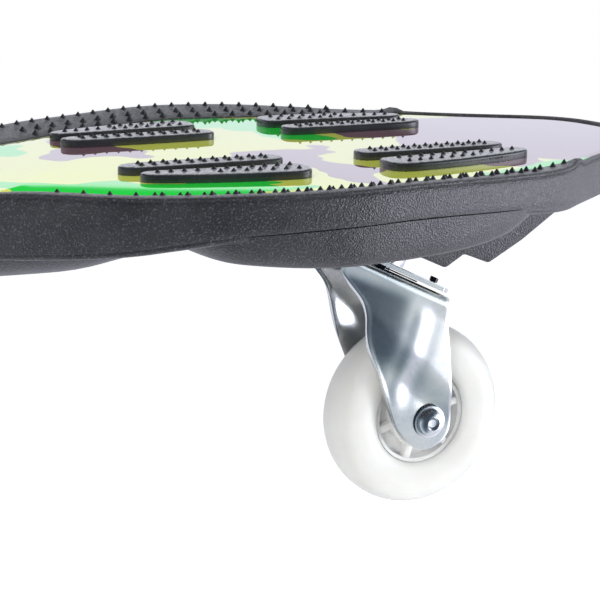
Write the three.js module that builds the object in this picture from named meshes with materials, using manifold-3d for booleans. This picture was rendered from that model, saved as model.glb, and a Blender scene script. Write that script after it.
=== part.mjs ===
// A caster board: two studded platforms joined by a torsion neck, each on one trailing caster.
// Millimetres, +X forward, +Y to the side away from the reference camera, +Z up.
// The origin lies on the axis of the neck, half way between the platforms.
import * as THREE from 'three';
import { mergeVertices } from 'three/addons/utils/BufferGeometryUtils.js';
import Module from 'manifold-3d';

const wasm = await Module();
wasm.setup();

// Fits
const clearance = 0.3; // between pieces that touch
const overlapDepth = 0.6; // how far a joined form reaches into its neighbour

// Platforms, each measured from its own middle, "out" being away from the neck
const platformMiddle = 265;
const platformHalfWidth = 112.5;
const tipReach = 164;
const neckReach = 150;
const shellTop = 21; // level above the neck's axis from which the seam and the belly are measured
const plateRise = 2.2; // of the coloured plate's top face above that level
const deckTop = shellTop + plateRise;
const plateThickness = 2;
const skinThickness = 3.5;
const lipHeight = 4; // of the rim's highest crest above the plate
const lipRound = 1.3;
const rimWidth = 19;
const seamTuck = 1.6;
const wallThickness = 3;
const coverTuck = 3;
const coverThickness = 2.6;

// Half width of a platform, as shares of neckReach or tipReach and of the half width
const neckSideShares = [
  [1, 0], [1, 0.2], [0.997, 0.37], [0.955, 0.489], [0.867, 0.587], [0.767, 0.678], [0.66, 0.768],
  [0.533, 0.859], [0.4, 0.918], [0.267, 0.974], [0.16, 0.998], [0.08, 1],
];
const tipSideShares = [
  [0, 0.987], [0.098, 0.964], [0.195, 0.931], [0.293, 0.886], [0.39, 0.831], [0.488, 0.756],
  [0.573, 0.658], [0.646, 0.564], [0.732, 0.48], [0.805, 0.418], [0.902, 0.329], [0.951, 0.26],
  [0.982, 0.17], [1, 0],
];
// The crest's height above the plate and the rim's width, along tipReach from the neck's end
const lipShares = [
  [-0.85, 0.25], [-0.756, 0.5], [-0.591, 0.45], [-0.524, 0.53], [-0.341, 0.68], [-0.244, 0.81],
  [-0.146, 0.93], [-0.049, 1], [0.049, 0.97], [0.146, 0.85], [0.244, 0.65], [0.341, 0.44],
  [0.451, 0.2], [0.488, 0.22], [0.561, 0.55], [0.604, 0.25], [1, 0.25],
];
const rimWidthShares = [
  [-0.85, 0.29], [-0.756, 1], [0.122, 1], [0.341, 0.75], [0.524, 0.47], [0.585, 0.29], [1, 0.29],
];
// Height of the seam and of the belly: out, below the shell's top, as shares of tipReach and seamDrop
const seamDrop = 19;
const seamShares = [
  [-0.915, 1], [-0.713, 0.9], [-0.591, 0.79], [-0.506, 0.66], [-0.402, 0.54], [-0.28, 0.453],
  [-0.2, 0.405], [0, 0.353], [0.152, 0.389], [0.348, 0.505], [0.488, 0.647], [0.61, 0.737],
  [0.793, 0.684], [1, 0.421],
];
const bellyDrop = 23.5;
const bellyShares = [
  [-0.54, 0.6], [-0.45, 0.774], [-0.378, 0.928], [-0.311, 0.962], [-0.165, 1], [0.073, 0.987],
  [0.158, 0.974], [0.293, 0.915], [0.39, 0.817], [0.46, 0.66], [0.54, 0.53],
];
const tubHalfLength = 90;
const tubTuck = 5;
const tubSquareness = 8;
const bellyLengthShare = 0.86;
const bellyWidthShare = 0.92;
const loopSteps = 17; // stretches on each side of a platform
const tubSteps = 12;

// Grip bars and their studs
const barX = 48.5;
const innerBarWidthShare = 0.2987; // of platformHalfWidth, at which the inner bars lie
const innerBarY = platformHalfWidth * innerBarWidthShare;
const innerBarLength = 65;
const innerBarWidth = 11;
const barHeight = 3.2; // above the plate
const barChamfer = 1.1;
const barEndRound = 4.6;
const barCornerShares = [0.25, 0.75];
const studPitch = 5;
const studRowPitch = 4.24;
const studRadius = 1.15;
const studHeight = 1.3;
const studsPerRow = 11;
const outerBarWidthShare = 0.4711;
const outerBarInnerEdge = platformHalfWidth * outerBarWidthShare;
const outerBarNearX = 15;
const outerBarFarX = 82.5;
// Outline of an outer bar: shares of its length from the middle end, and of its greatest width
const outerBarWidth = 15.2;
const outerBarShares = [
  [0.04, 0], [0.95, 0], [1, 0.14], [0.985, 0.27], [0.8, 0.61], [0.5, 0.88], [0.1, 1], [0, 0.88], [0, 0.07],
];
const outerRowX = 53.1;
const outerRowInset = 3.5; // from the bar's inner edge
const outerRowY = outerBarInnerEdge + outerRowInset;
const outerRowStuds = 7;
const outerSingleX = 74.9;
const outerSingleStuds = 4;
const outerSecondRowInset = 8.2;
const outerSecondRowY = outerBarInnerEdge + outerSecondRowInset;
const outerSecondRowRise = 2.8;
const rimStudPitch = 7.75;
const rimStudRadius = 1.6;
const rimStudHeight = 2.1;
const rimStudInset = 3.2;
const rimStudsOut = 8; // from the middle toward the tip
const rimStudsIn = 15; // toward the neck

// Screws that hold the lower shell
const coverScrewX = 45;
const coverScrewWidthShare = 0.6222;
const coverScrewY = platformHalfWidth * coverScrewWidthShare;
const coverScrewRadius = 2;
const coverScrewHeadRadius = 4;
const coverScrewHeadHeight = 2;
const coverScrewHeadLevel = 0.6;
const coverScrewTipLevel = 19.8;
const postRadius = 6;
const smallSegments = 8;
const roundSegments = 14;
const hexSides = 6;
const quarterTurn = Math.PI / 2;
const fullTurnDegrees = 360;

// Neck
const hubRadius = 18.5;
const hubOverhang = 22;
const hubBore = 15.6;
const hubBoreDepth = 74;
const hubLength = 116; // of the hub and the shoulder it flares into
const hubClampDepth = 38;
// Hub and shoulder, from the neck outward: shares of hubLength, of hubFlare and of hubRadius
const hubFlare = 50;
const hubShares = [
  [0, 0.37, 1], [0.26, 0.4, 1], [0.47, 0.6, 1], [0.66, 0.82, 0.93], [0.79, 0.94, 0.68],
  [0.9, 1, 0.43], [1, 1, 0.16],
];
const tubeRadius = 13.5;
const tubeWall = 2;
const bushLength = 20;
const torsionBarRadius = 5;
const blockLength = 12;
const sleeveHalfLength = 40;
const sleeveRadius = 17.5;
const sleeveGrooveDepth = 1.4;
const sleeveGrooveWidth = 5;
const sealLength = 12;
const sealRadius = 17;
const clampBoltRadius = 3;
const clampHeadRadius = 5;
const clampHeadHeight = 3;
const clampPocketRadius = 6.2;
const clampTipLevel = 8; // of the clamp bolts, from the neck's axis
const clampSeat = 17.4; // level of the flat under the head, from the neck's axis

// Casters, built with the swivel axis upright and the crown's top at zero, then leaned
const casterLeanDegrees = 26;
const casterLean = THREE.MathUtils.degToRad(casterLeanDegrees);
const crownX = 46.6; // crown's centre, from the platform's middle
const crownZ = -30.4;
const sheetThickness = 2.4;
const crownBack = 27;
const crownFront = 27;
const crownHalfWidth = 20;
const crownBend = 3.6;
const legHalfWidth = 16.6; // outside the lower legs
const stepTop = 33;
const stepBottom = 43;
const legBottom = 68;
const axleTrail = 43.8;
const axleDrop = 52;
const legEndRadius = 13.2;
// Leg edges: trail and drop as shares of axleTrail and axleDrop, from the crown down
const legRearShares = [
  [-0.626, 0.121], [-0.342, 0.25], [-0.183, 0.456], [-0.08, 0.558], [0.039, 0.665], [0.194, 0.798],
  [0.331, 0.904], [0.571, 1.112],
];
const legFrontShares = [[0.726, 0.233], [0.63, 0.06]];
const plateGap = 1.2; // between the fork's crown and the top plate
const topPlateThickness = 2;
const topPlateBack = 26;
const topPlateFront = 27;
const topPlateHalfWidth = 19;
const topPlateCorner = 5;
const raceInner = 11;
const raceOuter = 17;
const collarRadius = 9;
const collarHeight = 6.8;
const collarRound = 2;
const kingRadius = 4;
const kingHeadRadius = 7;
const kingHeadHeight = 5;
const kingReach = 15; // into the wedge
const pinX = 19.5;
const pinY = -12;
const pinRadius = 1.3;
const pinHeadRadius = 1.9;
const pinHeadHeight = 2;
const wheelRadius = 40.5;
const wheelWidth = 24;
const coreRadius = 25;
const coreHalfWidth = 10.6;
const coreRim = 4;
const coreBoss = 13.6;
const spokeCount = 6;
const spokeThickness = 4;
const spokeHalfWidth = 7;
const bearingRadius = 11;
const bearingWidth = 7;
const bearingBore = 4.3;
const bearingLip = 2.4;
const bearingRecess = 0.6;
const bearingOut = 11; // outer face of a bearing from the wheel's middle
const coreBore = 8;
const axleRadius = 4;
const axleHeadRadius = 7.2;
const axleHeadHeight = 4.4;
const axleWasher = 1;
const axleEnd = 25;
const spacerRadius = 6.2;
const wheelSegments = 30;
const legEndStartDegrees = -112;
const legEndSpanDegrees = 124;
const legEndSteps = 6;
// Half section of the tyre, as shares of wheelRadius and of half wheelWidth, from the crown of the tread
const tyreShares = [[1, 0], [0.98, 0.35], [0.92, 0.65], [0.83, 0.89], [0.73, 1], [0.65, 0.93]];
const tyreSeatShare = 0.84;

// Wedge under each platform; along X as shares of its length, its face lies along the casters' lean
const wedgeLength = 130;
const wedgeHalfWidth = 30;
const wedgeStartShare = 0.062;
const wedgeApexShare = 0.474;
const notchShares = [0.535, 0.548];
const notchDepth = 5.2;
const secondApexShares = [0.624, 0.642];
const secondApexRise = 0.4;
const wedgeBackShare = 0.753;
const wedgeBackRise = 8.9;
const wedgeEndShare = 0.992;
const wedgeTopShares = [0.66, 0.55];

const group = new THREE.Group();
group.name = 'caster_board';

function material(name, colour, roughness, metalness) {
  return { name, colour, roughness, metalness };
}
const blackPlastic = material('black_plastic', 0x2c2d31, 0.55, 0);
const platePaint = material('plate_paint', 0xb9cf55, 0.18, 0);
const zinc = material('zinc_steel', 0xb9c1c8, 0.28, 1);
const brightSteel = material('bright_steel', 0xc9ced2, 0.2, 1);
const darkSteel = material('dark_steel', 0x24262a, 0.4, 0.8);
const castWhite = material('white_tyre', 0xe9e8e2, 0.35, 0);
const coreWhite = material('white_core', 0xf1f1ee, 0.4, 0);
const rubber = material('black_rubber', 0x1d1d1f, 0.85, 0);
const nylon = material('nylon', 0xd8d6cc, 0.5, 0);
const tubeMetal = material('tube_metal', 0xa9adb2, 0.3, 1);

function solid(geometry) {
  const plain = geometry.clone();
  plain.deleteAttribute('normal');
  plain.deleteAttribute('uv');
  const merged = mergeVertices(plain);
  return new wasm.Manifold(new wasm.Mesh({
    numProp: 3,
    vertProperties: new Float32Array(merged.attributes.position.array),
    triVerts: new Uint32Array(merged.index.array),
  }));
}

function join(pieces) {
  return pieces.reduce((whole, piece) => whole.add(piece));
}

function addPart(name, body, look, matrix) {
  const mesh = body.getMesh();
  const geometry = new THREE.BufferGeometry();
  geometry.setAttribute('position', new THREE.BufferAttribute(mesh.vertProperties, 3));
  geometry.setIndex(new THREE.BufferAttribute(mesh.triVerts, 1));
  if (matrix) geometry.applyMatrix4(matrix);
  geometry.computeVertexNormals();
  const part = new THREE.Mesh(geometry, new THREE.MeshStandardMaterial({
    color: look.colour, roughness: look.roughness, metalness: look.metalness,
  }));
  part.name = name;
  part.material.name = look.name;
  group.add(part);
}

function placed(geometry, matrix) {
  geometry.applyMatrix4(matrix);
  return geometry;
}

function shift(x, y, z) {
  return new THREE.Matrix4().makeTranslation(x, y, z);
}

// A turned form around Z; the profile holds [radius, height] pairs from the axis back to the axis,
// or a closed ring when the form has a bore.
function turned(profile, segments) {
  const points = profile.map(([radius, height]) => new THREE.Vector2(radius, height));
  return solid(new THREE.LatheGeometry(points, segments).rotateX(quarterTurn));
}

function rod(radius, bottom, top, segments) {
  return turned([[0, bottom], [radius, bottom], [radius, top], [0, top]], segments);
}

function tubeForm(inner, outer, bottom, top, segments) {
  return turned([[inner, bottom], [outer, bottom], [outer, top], [inner, top], [inner, bottom]], segments);
}

function prism(points, bottom, top) {
  const shape = new THREE.Shape(points.map(([x, y]) => new THREE.Vector2(x, y)));
  const geometry = new THREE.ExtrudeGeometry(shape, { depth: top - bottom, bevelEnabled: false });
  return solid(placed(geometry, shift(0, 0, bottom)));
}

function blockForm(lengthX, lengthY, bottom, top) {
  return prism([
    [-lengthX / 2, -lengthY / 2], [lengthX / 2, -lengthY / 2],
    [lengthX / 2, lengthY / 2], [-lengthX / 2, lengthY / 2],
  ], bottom, top);
}

function interpolate(table, at) {
  if (at <= table[0][0]) return table[0][1];
  for (let i = 1; i < table.length; i += 1) {
    const [x1, y1] = table[i];
    const [x0, y0] = table[i - 1];
    if (at <= x1) return y0 + (y1 - y0) * (at - x0) / (x1 - x0);
  }
  return table[table.length - 1][1];
}

function outlinePoint(x, widthShare) {
  return new THREE.Vector3(x, widthShare * platformHalfWidth, 0);
}

// Platform outline, one side: from the tip to the neck's end
const sideCurve = new THREE.CatmullRomCurve3([
  ...tipSideShares.slice().reverse().map(([x, y]) => outlinePoint(x * tipReach, y)),
  ...neckSideShares.slice().reverse().map(([x, y]) => outlinePoint(-x * neckReach, y)),
], false, 'centripetal');
const sidePoints = sideCurve.getSpacedPoints(loopSteps);

function mirroredLoop(side) {
  const back = side.slice(1, -1).reverse().map((point) => new THREE.Vector3(point.x, -point.y, point.z));
  return [...side, ...back];
}

function insetSide(inset) {
  return sidePoints.map((point, i) => {
    const before = sidePoints[Math.max(0, i - 1)];
    const after = sidePoints[Math.min(loopSteps, i + 1)];
    const along = after.clone().sub(before).normalize();
    const depth = typeof inset === 'function' ? inset(point.x) : inset;
    const moved = new THREE.Vector3(point.x - along.y * depth, point.y + along.x * depth, 0);
    if (i === 0 || i === loopSteps) moved.y = 0;
    moved.y = Math.max(0, moved.y);
    return moved;
  });
}

function platformLoop(inset, level) {
  const side = insetSide(inset);
  side.forEach((point) => { point.z = typeof level === 'function' ? level(point.x) : level; });
  return mirroredLoop(side);
}

// Closes a stack of equal loops, lowest first; each loop mirrors itself across y = 0
function stackForm(loops) {
  const count = loops[0].length;
  const positions = loops.flat().flatMap((point) => [point.x, point.y, point.z]);
  const index = [];
  for (let ring = 0; ring + 1 < loops.length; ring += 1) {
    for (let i = 0; i < count; i += 1) {
      const a = ring * count + i;
      const b = ring * count + (i + 1) % count;
      index.push(a, b, b + count, a, b + count, a + count);
    }
  }
  const top = (loops.length - 1) * count;
  for (let i = 0; i < count / 2; i += 1) {
    const left = i + 1;
    const right = (count - i) % count;
    const nextRight = count - left;
    if (i > 0) {
      index.push(i, right, left);
      index.push(top + i, top + left, top + right);
    }
    if (i < count / 2 - 1) {
      index.push(right, nextRight, left);
      index.push(top + right, top + left, top + nextRight);
    }
  }
  const geometry = new THREE.BufferGeometry();
  geometry.setAttribute('position', new THREE.Float32BufferAttribute(positions, 3));
  geometry.setIndex(index);
  return solid(geometry);
}

function seamLevel(x) {
  return shellTop - seamDrop * interpolate(seamShares, x / tipReach);
}

function lipLevel(x) {
  return deckTop + lipHeight * interpolate(lipShares, x / tipReach);
}

function rimWidthAt(x) {
  return rimWidth * interpolate(rimWidthShares, x / tipReach);
}

function studForm(x, y, level, radius, height) {
  const cone = new THREE.ConeGeometry(radius, height + overlapDepth, 4, 1);
  cone.rotateX(Math.PI / 2);
  return solid(placed(cone, shift(x, y, level + (height - overlapDepth) / 2)));
}

// Moves every edge of a counterclockwise outline outward
function grownPoints(points, grow) {
  const count = points.length;
  return points.map(([x, y], i) => {
    const [x0, y0] = points[(i + count - 1) % count];
    const [x1, y1] = points[(i + 1) % count];
    const before = new THREE.Vector2(y - y0, x0 - x).normalize();
    const after = new THREE.Vector2(y1 - y, x - x1).normalize();
    const spread = grow / (1 + before.dot(after));
    return [x + (before.x + after.x) * spread, y + (before.y + after.y) * spread];
  });
}

// Grip bars: outlines of the two bars in one quarter of the platform
function innerBarPoints(sideY) {
  const halfLength = innerBarLength / 2;
  const halfWidth = innerBarWidth / 2;
  const points = [];
  const corners = [[1, 1], [-1, 1], [-1, -1], [1, -1]];
  corners.forEach(([signX, signY], quarter) => {
    for (const share of barCornerShares) {
      const angle = (quarter + share) * Math.PI / 2;
      points.push([
        barX + signX * (halfLength - barEndRound) + barEndRound * Math.cos(angle),
        sideY * innerBarY + signY * (halfWidth - barEndRound) + barEndRound * Math.sin(angle),
      ]);
    }
  });
  return points;
}

function outerBarPoints(sideY) {
  const length = outerBarFarX - outerBarNearX;
  const points = outerBarShares.map(([x, y]) => [
    outerBarNearX + x * length, sideY * (outerBarInnerEdge + y * outerBarWidth),
  ]);
  return sideY > 0 ? points : points.reverse();
}

function mirrorX(points) {
  return points.map(([x, y]) => [-x, y]).reverse();
}

function barOutlines() {
  const outlines = [];
  for (const sideY of [1, -1]) {
    const quarterBars = [innerBarPoints(sideY), outerBarPoints(sideY)];
    for (const points of quarterBars) outlines.push(points, mirrorX(points));
  }
  return outlines;
}

const recessLevel = deckTop - plateThickness - clearance;
const postTop = recessLevel - skinThickness - clearance;

function barForm(points) {
  const shape = new THREE.Shape(points.map(([x, y]) => new THREE.Vector2(x, y)));
  const geometry = new THREE.ExtrudeGeometry(shape, {
    depth: barHeight + deckTop - recessLevel + overlapDepth - barChamfer * 2,
    bevelEnabled: true,
    bevelThickness: barChamfer,
    bevelSize: barChamfer,
    bevelOffset: -barChamfer,
    bevelSegments: 1,
  });
  return solid(placed(geometry, shift(0, 0, recessLevel - overlapDepth + barChamfer)));
}

function barStuds() {
  const level = deckTop + barHeight;
  const studs = [];
  for (const sideX of [1, -1]) {
    for (const sideY of [1, -1]) {
      for (let i = 0; i < studsPerRow; i += 1) {
        const x = sideX * (barX + (i - (studsPerRow - 1) / 2) * studPitch);
        for (const row of [-1, 1]) {
          const y = sideY * (innerBarY + row * studRowPitch / 2);
          studs.push(studForm(x, y, level, studRadius, studHeight));
        }
      }
      for (let i = 0; i < outerRowStuds; i += 1) {
        const x = sideX * (outerRowX - i * studPitch);
        const rise = outerSecondRowRise * i / (outerRowStuds - 1);
        studs.push(studForm(x, sideY * outerRowY, level, studRadius, studHeight));
        studs.push(studForm(x, sideY * (outerSecondRowY + rise), level, studRadius, studHeight));
      }
      for (let i = 0; i < outerSingleStuds; i += 1) {
        const x = sideX * (outerSingleX - i * studPitch);
        studs.push(studForm(x, sideY * outerRowY, level, studRadius, studHeight));
      }
    }
  }
  return studs;
}

function rimStuds() {
  const studs = [];
  const table = insetSide(rimStudInset).map((point) => [point.x, point.y]).reverse();
  for (let i = -rimStudsIn; i <= rimStudsOut; i += 1) {
    const x = i * rimStudPitch;
    const y = interpolate(table, x);
    for (const sideY of [1, -1]) {
      studs.push(studForm(x, sideY * y, lipLevel(x), rimStudRadius, rimStudHeight));
    }
  }
  return studs;
}

// The hub, as a stack of ellipses round the neck's axis, each side grown alike
function hubForm(grow) {
  const start = -neckReach - hubOverhang;
  const rings = hubShares.map(([along, width, height], i) => {
    const end = i === 0 ? -grow : grow * Number(i === hubShares.length - 1);
    const ring = [];
    for (let step = 0; step < hubSegments; step += 1) {
      const angle = step * 2 * Math.PI / hubSegments;
      ring.push(new THREE.Vector3(
        start + along * hubLength + end,
        (width * hubFlare + grow) * Math.sin(angle),
        (height * hubRadius + grow) * Math.cos(angle),
      ));
    }
    return ring;
  });
  const positions = rings.flat().flatMap((point) => [point.x, point.y, point.z]);
  const index = [];
  for (let ring = 0; ring + 1 < rings.length; ring += 1) {
    for (let step = 0; step < hubSegments; step += 1) {
      const a = ring * hubSegments + step;
      const b = ring * hubSegments + (step + 1) % hubSegments;
      index.push(a, b + hubSegments, b, a, a + hubSegments, b + hubSegments);
    }
  }
  const last = (rings.length - 1) * hubSegments;
  for (let step = 1; step + 1 < hubSegments; step += 1) {
    index.push(0, step, step + 1);
    index.push(last, last + step + 1, last + step);
  }
  const geometry = new THREE.BufferGeometry();
  geometry.setAttribute('position', new THREE.Float32BufferAttribute(positions, 3));
  geometry.setIndex(index);
  return solid(geometry);
}

// A turned form whose axis is the neck's, heights running along +X
function turnedAlongX(profile, segments) {
  const points = profile.map(([radius, along]) => new THREE.Vector2(radius, along));
  const geometry = new THREE.LatheGeometry(points, segments);
  geometry.rotateZ(-Math.PI / 2);
  return solid(geometry);
}

const hubSegments = 22;
const clampX = -neckReach - hubOverhang + hubClampDepth;

function deckShell() {
  const outer = stackForm([
    platformLoop(seamTuck, (x) => seamLevel(x)),
    platformLoop(0, (x) => (seamLevel(x) + lipLevel(x)) / 2),
    platformLoop(0, (x) => lipLevel(x) - lipRound),
    platformLoop(lipRound, (x) => lipLevel(x)),
    platformLoop(rimWidthAt, deckTop),
    platformLoop((x) => rimWidthAt(x) + clearance, recessLevel),
  ]);
  const hollow = stackForm([
    platformLoop(seamTuck + wallThickness, (x) => seamLevel(x) - wallThickness),
    platformLoop(seamTuck + wallThickness, recessLevel - skinThickness),
  ]);
  const boreEnd = -neckReach - hubOverhang + hubBoreDepth;
  const bore = turnedAlongX([
    [0, -neckReach - hubOverhang - overlapDepth], [hubBore, -neckReach - hubOverhang - overlapDepth],
    [hubBore, boreEnd], [0, boreEnd],
  ], hubSegments);
  const clampHole = join([
    rod(clampBoltRadius + clearance, 0, clampSeat + overlapDepth, smallSegments),
    rod(clampPocketRadius, clampSeat, hubRadius * 2, smallSegments),
  ]).translate(clampX, 0, 0);
  const screwHoles = screwSpots().map(([x, y]) => (
    rod(coverScrewRadius + clearance, 0, coverScrewTipLevel + clearance, smallSegments).translate(x, y, 0)
  ));
  const bars = join(barOutlines().map(barForm));
  return outer.subtract(hollow)
    .add(hubForm(0))
    .add(bars).add(join([...barStuds(), ...rimStuds()]))
    .subtract(bore).subtract(clampHole).subtract(join(screwHoles));
}

function screwSpots() {
  const spots = [];
  for (const signX of [1, -1]) {
    for (const signY of [1, -1]) spots.push([signX * coverScrewX, signY * coverScrewY]);
  }
  return spots;
}

function deckPlate() {
  const grow = (x) => rimWidthAt(x) + clearance * 3;
  const sheet = stackForm([platformLoop(grow, deckTop - plateThickness), platformLoop(grow, deckTop)]);
  const slots = barOutlines().map((points) => (
    prism(grownPoints(points, clearance), deckTop - plateThickness * 2, deckTop + plateThickness)
  ));
  const clampSlot = rod(clampPocketRadius, 0, deckTop + plateThickness, smallSegments)
    .translate(clampX, 0, 0);
  return sheet.subtract(join(slots)).subtract(clampSlot);
}

function tubLoop(share, widthShare, tuck, level) {
  const side = [];
  const half = tubHalfLength * share;
  const outline = sidePoints.map((point) => [point.x, point.y]).reverse();
  for (let i = 0; i <= tubSteps; i += 1) {
    const turn = Math.PI * i / tubSteps;
    const along = Math.sign(Math.cos(turn)) * Math.sqrt(Math.abs(Math.cos(turn)));
    const width = interpolate(outline, tubHalfLength * along) * widthShare - tuck;
    const across = Math.sqrt(Math.max(0, 1 - along ** tubSquareness));
    side.push(new THREE.Vector3(half * along, i === 0 || i === tubSteps ? 0 : width * across, 0));
  }
  side.forEach((point) => { point.z = typeof level === 'function' ? level(point.x) : level; });
  return mirroredLoop(side);
}

function bellyLevel(x) {
  return shellTop - bellyDrop * interpolate(bellyShares, x / tipReach);
}

// Level of the wedge's leaning face, which the collar meets
function faceLevel(x) {
  const along = (x - crownX - faceHeight * Math.sin(casterLean)) / Math.cos(casterLean);
  return crownZ - along * Math.sin(casterLean) + faceHeight * Math.cos(casterLean);
}

function wedgeForm(sideX) {
  const at = (share) => share * wedgeLength;
  const seamAt = (share) => seamLevel(sideX * at(share));
  const apex = faceLevel(at(wedgeApexShare));
  const [topFar, topNear] = wedgeTopShares;
  return acrossForm([
    [at(wedgeStartShare), faceLevel(at(wedgeStartShare))],
    [at(wedgeApexShare), apex],
    ...notchShares.map((share) => [at(share), apex + notchDepth]),
    ...secondApexShares.map((share) => [at(share), apex + secondApexRise]),
    [at(wedgeBackShare), apex + wedgeBackRise],
    [at(wedgeEndShare), seamAt(wedgeEndShare) - coverThickness - wallThickness / 2],
    [at(wedgeEndShare), seamAt(wedgeEndShare) - coverThickness / 2],
    [at(topFar), seamAt(topFar) - coverThickness / 2],
    [at(topNear), bellyLevel(sideX * at(topNear)) + wallThickness / 2],
  ], wedgeHalfWidth);
}

// The lower shell of a platform whose wedge points forward; sideX tells which end the neck is on
function underShell(sideX) {
  const cover = stackForm([
    platformLoop(coverTuck + seamTuck, (x) => seamLevel(x) - coverThickness - clearance),
    platformLoop(coverTuck, (x) => seamLevel(x) - coverThickness / 2 - clearance),
    platformLoop(coverTuck, (x) => seamLevel(x) - clearance),
  ]);
  const middleLevel = (x) => (seamLevel(x) + bellyLevel(x) * 2) / 3 - clearance;
  const tub = stackForm([
    tubLoop(bellyLengthShare, bellyWidthShare, 0, bellyLevel),
    tubLoop((1 + bellyLengthShare) / 2, (1 + bellyWidthShare) / 2, tubTuck / 2, middleLevel),
    tubLoop(1, 1, tubTuck, (x) => seamLevel(x) - clearance - coverThickness / 2),
  ]);
  const wall = wallThickness / tubHalfLength;
  const floorLevel = (x) => bellyLevel(x) + wallThickness;
  const hollow = stackForm([
    tubLoop(bellyLengthShare - wall * 2, bellyWidthShare, wallThickness, floorLevel),
    tubLoop(1 - wall * 2, 1, tubTuck + wallThickness, (x) => seamLevel(x) + wallThickness),
  ]);
  const posts = [];
  const holes = [];
  screwSpots().forEach(([x, y]) => {
    const floor = bellyLevel(x) + overlapDepth;
    const top = coverScrewHeadLevel + coverScrewHeadHeight + clearance;
    posts.push(rod(postRadius, floor, postTop, smallSegments).translate(x, y, 0));
    holes.push(rod(coverScrewRadius + clearance, -bellyDrop, deckTop, smallSegments).translate(x, y, 0));
    holes.push(rod(coverScrewHeadRadius + clearance, -bellyDrop, top, smallSegments).translate(x, y, 0));
  });
  const wedge = wedgeForm(sideX);
  const hubSpace = hubForm(clearance);
  const lower = cover.add(tub).subtract(hollow).add(join(posts)).subtract(join(holes)).subtract(hubSpace);
  const turnedLower = sideX > 0 ? lower : lower.mirror([1, 0, 0]);
  const turnedSpace = sideX > 0 ? hubSpace : hubSpace.mirror([1, 0, 0]);
  return turnedLower.add(wedge.subtract(turnedSpace)).subtract(kingHole());
}

const topPlateBottom = plateGap;
const collarBottom = topPlateBottom + topPlateThickness + clearance;
const faceHeight = collarBottom + collarHeight + clearance;
const kingTip = faceHeight + kingReach;
const leanMatrix = new THREE.Matrix4().makeTranslation(crownX, 0, crownZ)
  .multiply(new THREE.Matrix4().makeRotationY(casterLean));
const leanArray = leanMatrix.toArray();

function kingHole() {
  return rod(kingRadius + clearance, 0, kingTip + clearance, roundSegments).transform(leanArray);
}

// Pieces of one caster, in the caster's own frame
function crownSection(outerHalf, lowerHalf, lift) {
  const bend = crownBend * (1 - Math.SQRT1_2);
  const side = [
    [outerHalf - crownBend, -lift], [outerHalf - bend, -lift - bend], [outerHalf, -lift - crownBend],
    [outerHalf, -stepTop], [lowerHalf, -stepBottom], [lowerHalf, -legBottom],
  ];
  return side;
}

function forkForm() {
  const outside = crownSection(crownHalfWidth, legHalfWidth, 0);
  const inside = crownSection(crownHalfWidth - sheetThickness, legHalfWidth - sheetThickness, sheetThickness);
  const half = [...outside, ...inside.reverse()];
  const section = [...half, ...half.slice().reverse().map(([y, z]) => [-y, z])];
  const channel = solid(placed(
    new THREE.ExtrudeGeometry(
      new THREE.Shape(section.reverse().map(([y, z]) => new THREE.Vector2(y, z))),
      { depth: (crownBack + crownFront) * 2, bevelEnabled: false },
    ),
    new THREE.Matrix4().makeBasis(
      new THREE.Vector3(0, 1, 0), new THREE.Vector3(0, 0, 1), new THREE.Vector3(1, 0, 0),
    ).setPosition(-crownBack - overlapDepth, 0, 0),
  ));
  const rear = legRearShares.map(([trail, drop]) => [trail * axleTrail, -drop * axleDrop]);
  const front = legFrontShares.map(([trail, drop]) => [trail * axleTrail, -drop * axleDrop]);
  const end = [];
  for (let step = 0; step <= legEndSteps; step += 1) {
    const angle = THREE.MathUtils.degToRad(legEndStartDegrees + legEndSpanDegrees * step / legEndSteps);
    end.push([axleTrail + legEndRadius * Math.cos(angle), -axleDrop + legEndRadius * Math.sin(angle)]);
  }
  const outline = [[-crownBack, overlapDepth], ...rear, ...end, ...front, [crownFront, overlapDepth]];
  const side = acrossForm(outline, crownHalfWidth + overlapDepth);
  const axleHole = acrossRod(axleRadius + clearance, crownHalfWidth * 2, 0);
  const crownHole = rod(kingRadius + clearance, -axleDrop, axleDrop, roundSegments);
  return channel.intersect(side).subtract(axleHole).subtract(crownHole);
}

// A rectangle with cut corners, from -back to front along X
function roundedPlan(back, front, halfWidth, corner) {
  return [
    [-back + corner, -halfWidth], [front - corner, -halfWidth], [front, -halfWidth + corner],
    [front, halfWidth - corner], [front - corner, halfWidth], [-back + corner, halfWidth],
    [-back, halfWidth - corner], [-back, -halfWidth + corner],
  ];
}

// A prism across the board: the points hold [x, z], counterclockwise seen from the near side
function acrossForm(points, halfWidth) {
  const shape = new THREE.Shape(points.map(([x, z]) => new THREE.Vector2(x, z)));
  const geometry = new THREE.ExtrudeGeometry(shape, { depth: halfWidth * 2, bevelEnabled: false });
  geometry.rotateX(Math.PI / 2);
  return solid(placed(geometry, shift(0, halfWidth, 0)));
}

// Moves a form turned around Z onto the wheel's axle: its heights then run along +Y
function ontoAxle(body) {
  return body.rotate([-fullTurnDegrees / 4, 0, 0]).translate(axleTrail, 0, -axleDrop);
}

function acrossRod(radius, halfLength, middle) {
  return ontoAxle(rod(radius, middle - halfLength, middle + halfLength, roundSegments));
}

function axleForm(profile, segments, sign = 1) {
  const body = turned(profile, segments);
  return ontoAxle(sign > 0 ? body : body.mirror([0, 0, 1]));
}

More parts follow.
